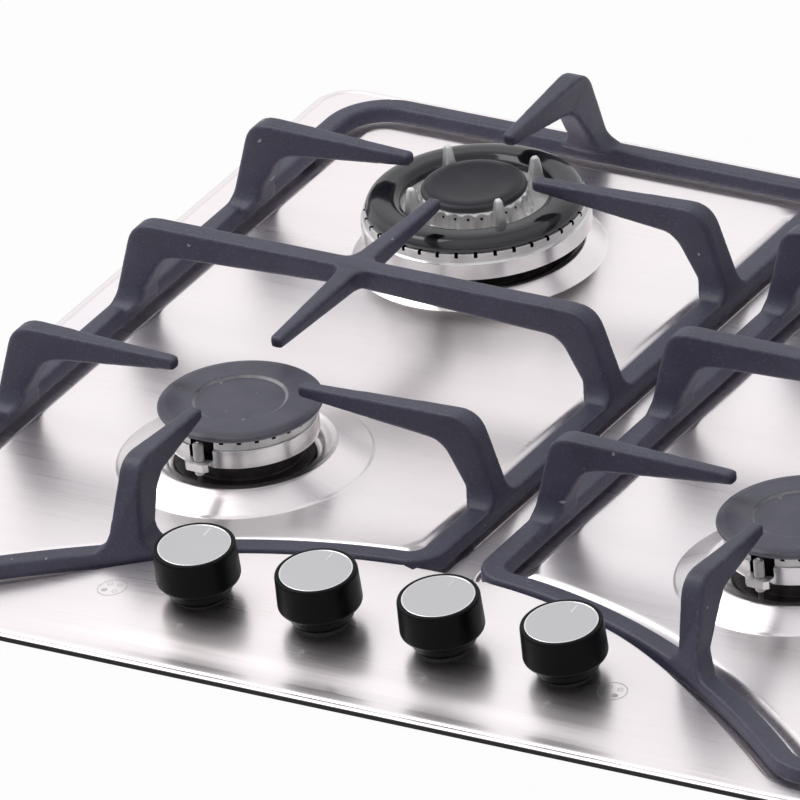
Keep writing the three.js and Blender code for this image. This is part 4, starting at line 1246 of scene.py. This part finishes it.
black_plastic = satin_black()
disc_metal = brushed_disc()
recess_z = KNOB_TOP_Z - 1.2
knob_outline = eased([
    (0, KNOB_BASE_Z + 1), (14.0, KNOB_BASE_Z + 1), (14.0, KNOB_BASE_Z), (14.7, KNOB_BASE_Z, 0.4),
    (15.2, KNOB_BASE_Z + 3.2, 0.8), (KNOB_R + 0.3, KNOB_BASE_Z + 6.2, 1.4),
    (KNOB_R - 0.2, KNOB_TOP_Z, 1.6), (DISC_R + GAP, KNOB_TOP_Z, 0.2), (DISC_R + GAP, recess_z),
    (0, recess_z),
])
disc_outline = eased([
    (0, recess_z + 0.2), (DISC_R, recess_z + 0.2), (DISC_R, KNOB_TOP_Z + 0.1, 0.35),
    (DISC_R - 0.45, KNOB_TOP_Z + 0.12, 0.15), (DISC_R - 0.6, KNOB_TOP_Z - 0.05, 0.1),
    (0, KNOB_TOP_Z - 0.05),
])
shade_washer_outline = eased([
    (WASHER_BORE_R, PANEL_Z - 0.4), (WASHER_R, PANEL_Z - 0.4), (WASHER_R, PANEL_Z + 1.2, 0.5),
    (WASHER_BORE_R, PANEL_Z + 1.2),
])
for name, x in KNOB_XS.items():
    body = make_piece(f"{name}_knob_body", leaned(turned(knob_outline, x, KNOB_Y)), black_plastic,
                      f"{name}_knob", [f"{name}_knob"])
    crisp(body)
    cover = make_piece(f"{name}_knob_cover", leaned(turned(disc_outline, x, KNOB_Y)), disc_metal,
                       f"{name}_knob", [f"{name}_knob_disc"])
    cover.data.materials.append(polished)
    pointer = box_shape(POINTER_FROM, POINTER_TO, -POINTER_WIDTH / 2, POINTER_WIDTH / 2,
                        KNOB_TOP_Z - 0.13, KNOB_TOP_Z + 2, 90, x, KNOB_Y)
    carve(cover, leaned(pointer), finish=BRIGHT)
    for face in cover.data.polygons:
        middle = face.center / MM
        if math.hypot(middle.x - x, middle.y - KNOB_Y + DISC_SHIFT) > DISC_R - DISC_RIM:
            face.material_index = BRIGHT
    crisp(cover)
    # The black washer also paints the shade on the panel under the knob's skirt.
    washer = turned(shade_washer_outline, x, KNOB_Y, 48, ring=True)
    crisp(make_piece(f"{name}_knob_shade_washer", leaned(washer), rubber, "hob"))


# ---------------------------------------------------------------- pan supports
# Each pan support is one iron casting under matt black enamel: a closed frame that follows the
# well, six fingers that rise from it and lean in, and a crossbar with two cross fingers.
RAIL_BOTTOM_Z, RAIL_TOP_Z = 58, 66
FINGER_TOP_Z = 107.3
TIP_DROP = 2.5
TIP_RADIUS = 32.5
TIP_WIDTH, TIP_DEPTH = 6.0, 5.6
BAR_WIDTH = 10.4
LEG_LEAN = 0.265
LEG_THICK = 14.6
CHAMFER = 0.9
CAST_STEP = 0.8


def rail_shape(side):
    """The frame: a low bar, wider along the middle of the hob than at its outside."""
    low, high = RAIL_BOTTOM_Z, RAIL_TOP_Z
    section = (
        (-4.4, low, 0.9), (4.4, low, 0.9), (5.6, low + 1.2, 0.2), (6.0, low + 2.6, 0),
        (5.0, high - 1.2, 0.9), (4.2, high - 0.2, 1.3), (3.4, high, 1.2), (-3.4, high, 1.2),
        (-4.2, high - 0.2, 1.3), (-5.0, high - 1.2, 0.9), (-6.0, low + 2.6, 0),
        (-5.6, low + 1.2, 0.2),
    )
    loops = []
    for off, z, wide in section:
        loop = []
        for x, y, nx, ny in FRAME_LINE:
            reach = off + math.copysign(wide * max(0, -nx) ** 2, off)
            loop.append((side * (x + reach * nx), y + reach * ny, z))
        loops.append(loop)
    return bands(loops, ring=True)


def inset(outline, depth):
    """A closed outline moved inwards; it runs anticlockwise."""
    made = []
    for i, here in enumerate(outline):
        before, after = Vector(outline[i - 1][:2]), Vector(outline[(i + 1) % len(outline)][:2])
        here = Vector(here[:2])
        first, second = (here - before).normalized(), (after - here).normalized()
        middle = first + second
        if middle.length < 1e-3:
            middle = first
        middle.normalize()
        inward = Vector((-middle.y, middle.x))
        share = max(0.5, inward.dot(Vector((-first.y, first.x))))
        made.append(here + inward * depth / share)
    return made


def plate_like(outline, width, x, y, turn, skew=0.0):
    """A casting from its side outline; width gives its thickness at each point of it."""
    smaller = inset(outline, CHAMFER)
    loops = []
    for points, k, back in ((smaller, -1, 0), (outline, -1, CHAMFER), (outline, 1, CHAMFER),
                            (smaller, 1, 0)):
        loop = []
        for (s, z), (full_s, full_z) in zip(points, outline):
            across = k * (width(full_s, full_z) / 2 - back)
            shift = skew * across if full_z < RAIL_TOP_Z + 6 else 0
            loop.append((s + shift, across, z))
        loops.append(placed(loop, x, y, turn))
    return capped(loops)


def between(a, b, share):
    return a + (b - a) * min(max(share, 0), 1)


def finger_shape(x, y, turn, rail, lip, tip, tip_width=TIP_WIDTH, tip_depth=TIP_DEPTH,
                 drop=TIP_DROP, skew=0.0):
    """A finger's leg, bend and arm; rail and tip are distances from the burner's axis."""
    top = FINGER_TOP_Z

    def face(z):
        return rail + lip - LEG_LEAN * (z - RAIL_TOP_Z)

    knee = face(top)
    low = RAIL_TOP_Z + 5
    outline = eased([
        (tip, top - drop - tip_depth, 1.4), (knee - 16.4, top - 14.8, 7),
        (face(low) - LEG_THICK + 1, low), (rail - 5, RAIL_BOTTOM_Z + 3),
        (rail + 4.8, RAIL_BOTTOM_Z + 3), (face(low), low), (knee, top, 11),
        (tip, top - drop, 1.6),
    ], 6)

    def width(s, z):
        arm = between(tip_width, 10.6, (s - tip) / (knee - 12 - tip))
        leg = between(13.6, 10.8, (z - low) / (top - 14 - low))
        return leg if z < top - 16 else arm

    return plate_like(outline, width, x, y, turn, skew)


def foot_shape(x, y, turn, rail, lip, skew=0.0):
    """The flare where a leg grows out of the rail."""
    loops = []
    for z, half, thick in ((60.4, 14.5, 10.8), (63.5, 14.5, 11), (65.6, 13.4, 12.4),
                           (66.8, 11.2, 14), (68.4, 9.2, 14.6), (70.6, 7.8, 14.6),
                           (73.5, 6.9, 14.4)):
        outer = rail + min(lip, 5.6) if z < RAIL_TOP_Z else rail + lip - LEG_LEAN * (z - RAIL_TOP_Z)
        inner = outer - thick
        loop = []
        for s, t in rounded_rectangle((outer - inner) / 2, half, 2.4, 4):
            loop.append((s + (outer + inner) / 2 + skew * t, t, z))
        loops.append(placed(loop, x, y, turn))
    return capped(loops)


def cross_finger(x, y, turn, reach):
    top = FINGER_TOP_Z
    outline = eased([
        (-3, top - 10), (reach, top - TIP_DROP - TIP_DEPTH, 1.4), (reach, top - TIP_DROP, 1.6),
        (-3, top),
    ], 5)
    return plate_like(outline, lambda s, z: between(BAR_WIDTH, TIP_WIDTH, s / reach), x, y, turn)


def crossing_fillet(x, y, half=4.8, radius=6.0):
    """Rounds the four corners where the bars cross."""
    plan = []
    for sx, sy, start in ((1, 1, 180), (-1, 1, 270), (-1, -1, 0), (1, -1, 90)):
        cx, cy = sx * (half + radius), sy * (half + radius)
        sweep = [(start + 90 * i / 6) for i in range(7)]
        points = [(cx + radius * math.cos(math.radians(a)), cy + radius * math.sin(math.radians(a)))
                  for a in sweep]
        plan += points[::-1]
    heights = (FINGER_TOP_Z - 9.4, FINGER_TOP_Z - 0.3)
    return capped([[(x + u, y + v, z) for u, v in plan] for z in heights])


def support_shape(side):
    """The shapes that one casting is melted from: frame, legs, their flares, and the crossbar."""
    x = side * BURNER_X
    out = 0 if side > 0 else 180
    far, close = RAIL_OUTER_X - BURNER_X, BURNER_X - RAIL_INNER_X
    front, rear = FRONT_BURNER_Y, REAR_BURNER_Y
    middle = (front + rear) / 2
    flat = {"tip_width": BAR_WIDTH, "tip_depth": 10, "drop": 0}
    skew = side * math.tan(bow_angle(BURNER_X))
    legs = []
    for y in (front, rear):
        legs.append((x, y, out, far, 4.2, TIP_RADIUS, {}))
        legs.append((x, y, out + 180, close, 6, TIP_RADIUS, {}))
    legs.append((x, middle, out, far, 4.2, -4, flat))
    legs.append((x, middle, out + 180, close, 6, -4, flat))
    legs.append((x, front, 270, front - bow_y(x), 5.4, TIP_RADIUS + 4, {"skew": skew}))
    legs.append((x, rear, 90, RAIL_BACK_Y - rear, 5.4, TIP_RADIUS, {}))
    shapes = [rail_shape(side)]
    for cx, cy, turn, rail, lip, tip, more in legs:
        shapes.append(finger_shape(cx, cy, turn, rail, lip, tip, **more))
        shapes.append(foot_shape(cx, cy, turn, rail, lip, more.get("skew", 0)))
    for turn in (90, 270):
        shapes.append(cross_finger(x, middle, turn, rear - middle - TIP_RADIUS - 1))
    shapes.append(crossing_fillet(x, middle))
    return shapes


def cast_iron():
    """Enamelled iron: bluish charcoal with a sandy grain, greyer along its edges in patches as wear
    and as a painted edge highlight, and chips.
    """
    iron, skin, place = new_finish("cast_iron")
    sand = noise(iron, place, 900.0, 3.0)
    lumps = noise(iron, place, 260.0, 3.0)
    broad = noise(iron, place, 38.0, 4.0)
    tone = two_tones(iron, broad, 0.3, (0.054, 0.053, 0.094), 0.7, (0.083, 0.080, 0.142))
    fleck = spread(iron, sand, 0.0, 0.4, 0.56, 0.76)
    speckled = blend(iron, fleck, tone, (0.24, 0.236, 0.30, 1))
    edge = add_node(iron, "ShaderNodeNewGeometry").outputs["Pointiness"]
    # Paler edges from Pointiness, in patches: partly wear, partly a painted highlight on the edges.
    rubbed_and_highlit = spread(iron, edge, 0.0, 0.8, 0.515, 0.57)
    patchy = spread(iron, lumps, 0.1, 0.75, 0.38, 0.66)
    wear_and_highlight = add_node(iron, "ShaderNodeMath", {0: rubbed_and_highlit, 1: patchy}, operation="MULTIPLY")
    paler = blend(iron, wear_and_highlight.outputs[0], speckled, (0.34, 0.33, 0.42, 1))
    chipped = above(iron, noise(iron, place, 150.0, 1.0), 0.79)
    heights = add_node(iron, "ShaderNodeMath", {0: sand, 1: lumps}, operation="ADD")
    skin.inputs["Roughness"].default_value = 0.5
    skin.inputs["Specular IOR Level"].default_value = 0.65
    connect(iron, skin, {
        "Base Color": blend(iron, chipped, paler, (0.5, 0.5, 0.53, 1)),
        "Normal": bumps(iron, heights.outputs[0], 0.4, 0.0003),
    })
    return iron


def cast_in_one(made):
    """Melts a piece's overlapping shapes into one skin with softened edges."""
    melt = made.modifiers.new("melt", "REMESH")
    melt.mode = "VOXEL"
    melt.voxel_size = CAST_STEP * MM
    melt.use_smooth_shade = True
    soften = made.modifiers.new("soften", "SMOOTH")
    soften.factor = 0.5
    soften.iterations = 4


iron = cast_iron()
for word, side in (("left", -1), ("right", 1)):
    support = make_piece(f"{word}_support_casting", joined(*support_shape(side)), iron,
                         f"{word}_support", [f"{word}_pan_support"])
    cast_in_one(support)
    for where in ("inner_front", "outer_front", "inner_rear", "outer_rear"):
        dress(f"{word}_{where}_foot", rubber)


# ---------------------------------------------------------------- ignition
# A moulded box makes the sparks, and its cord leaves through a rubber bush in the rear wall.
dress("ignition_box", black_plastic)
dress("mains_gland", rubber)
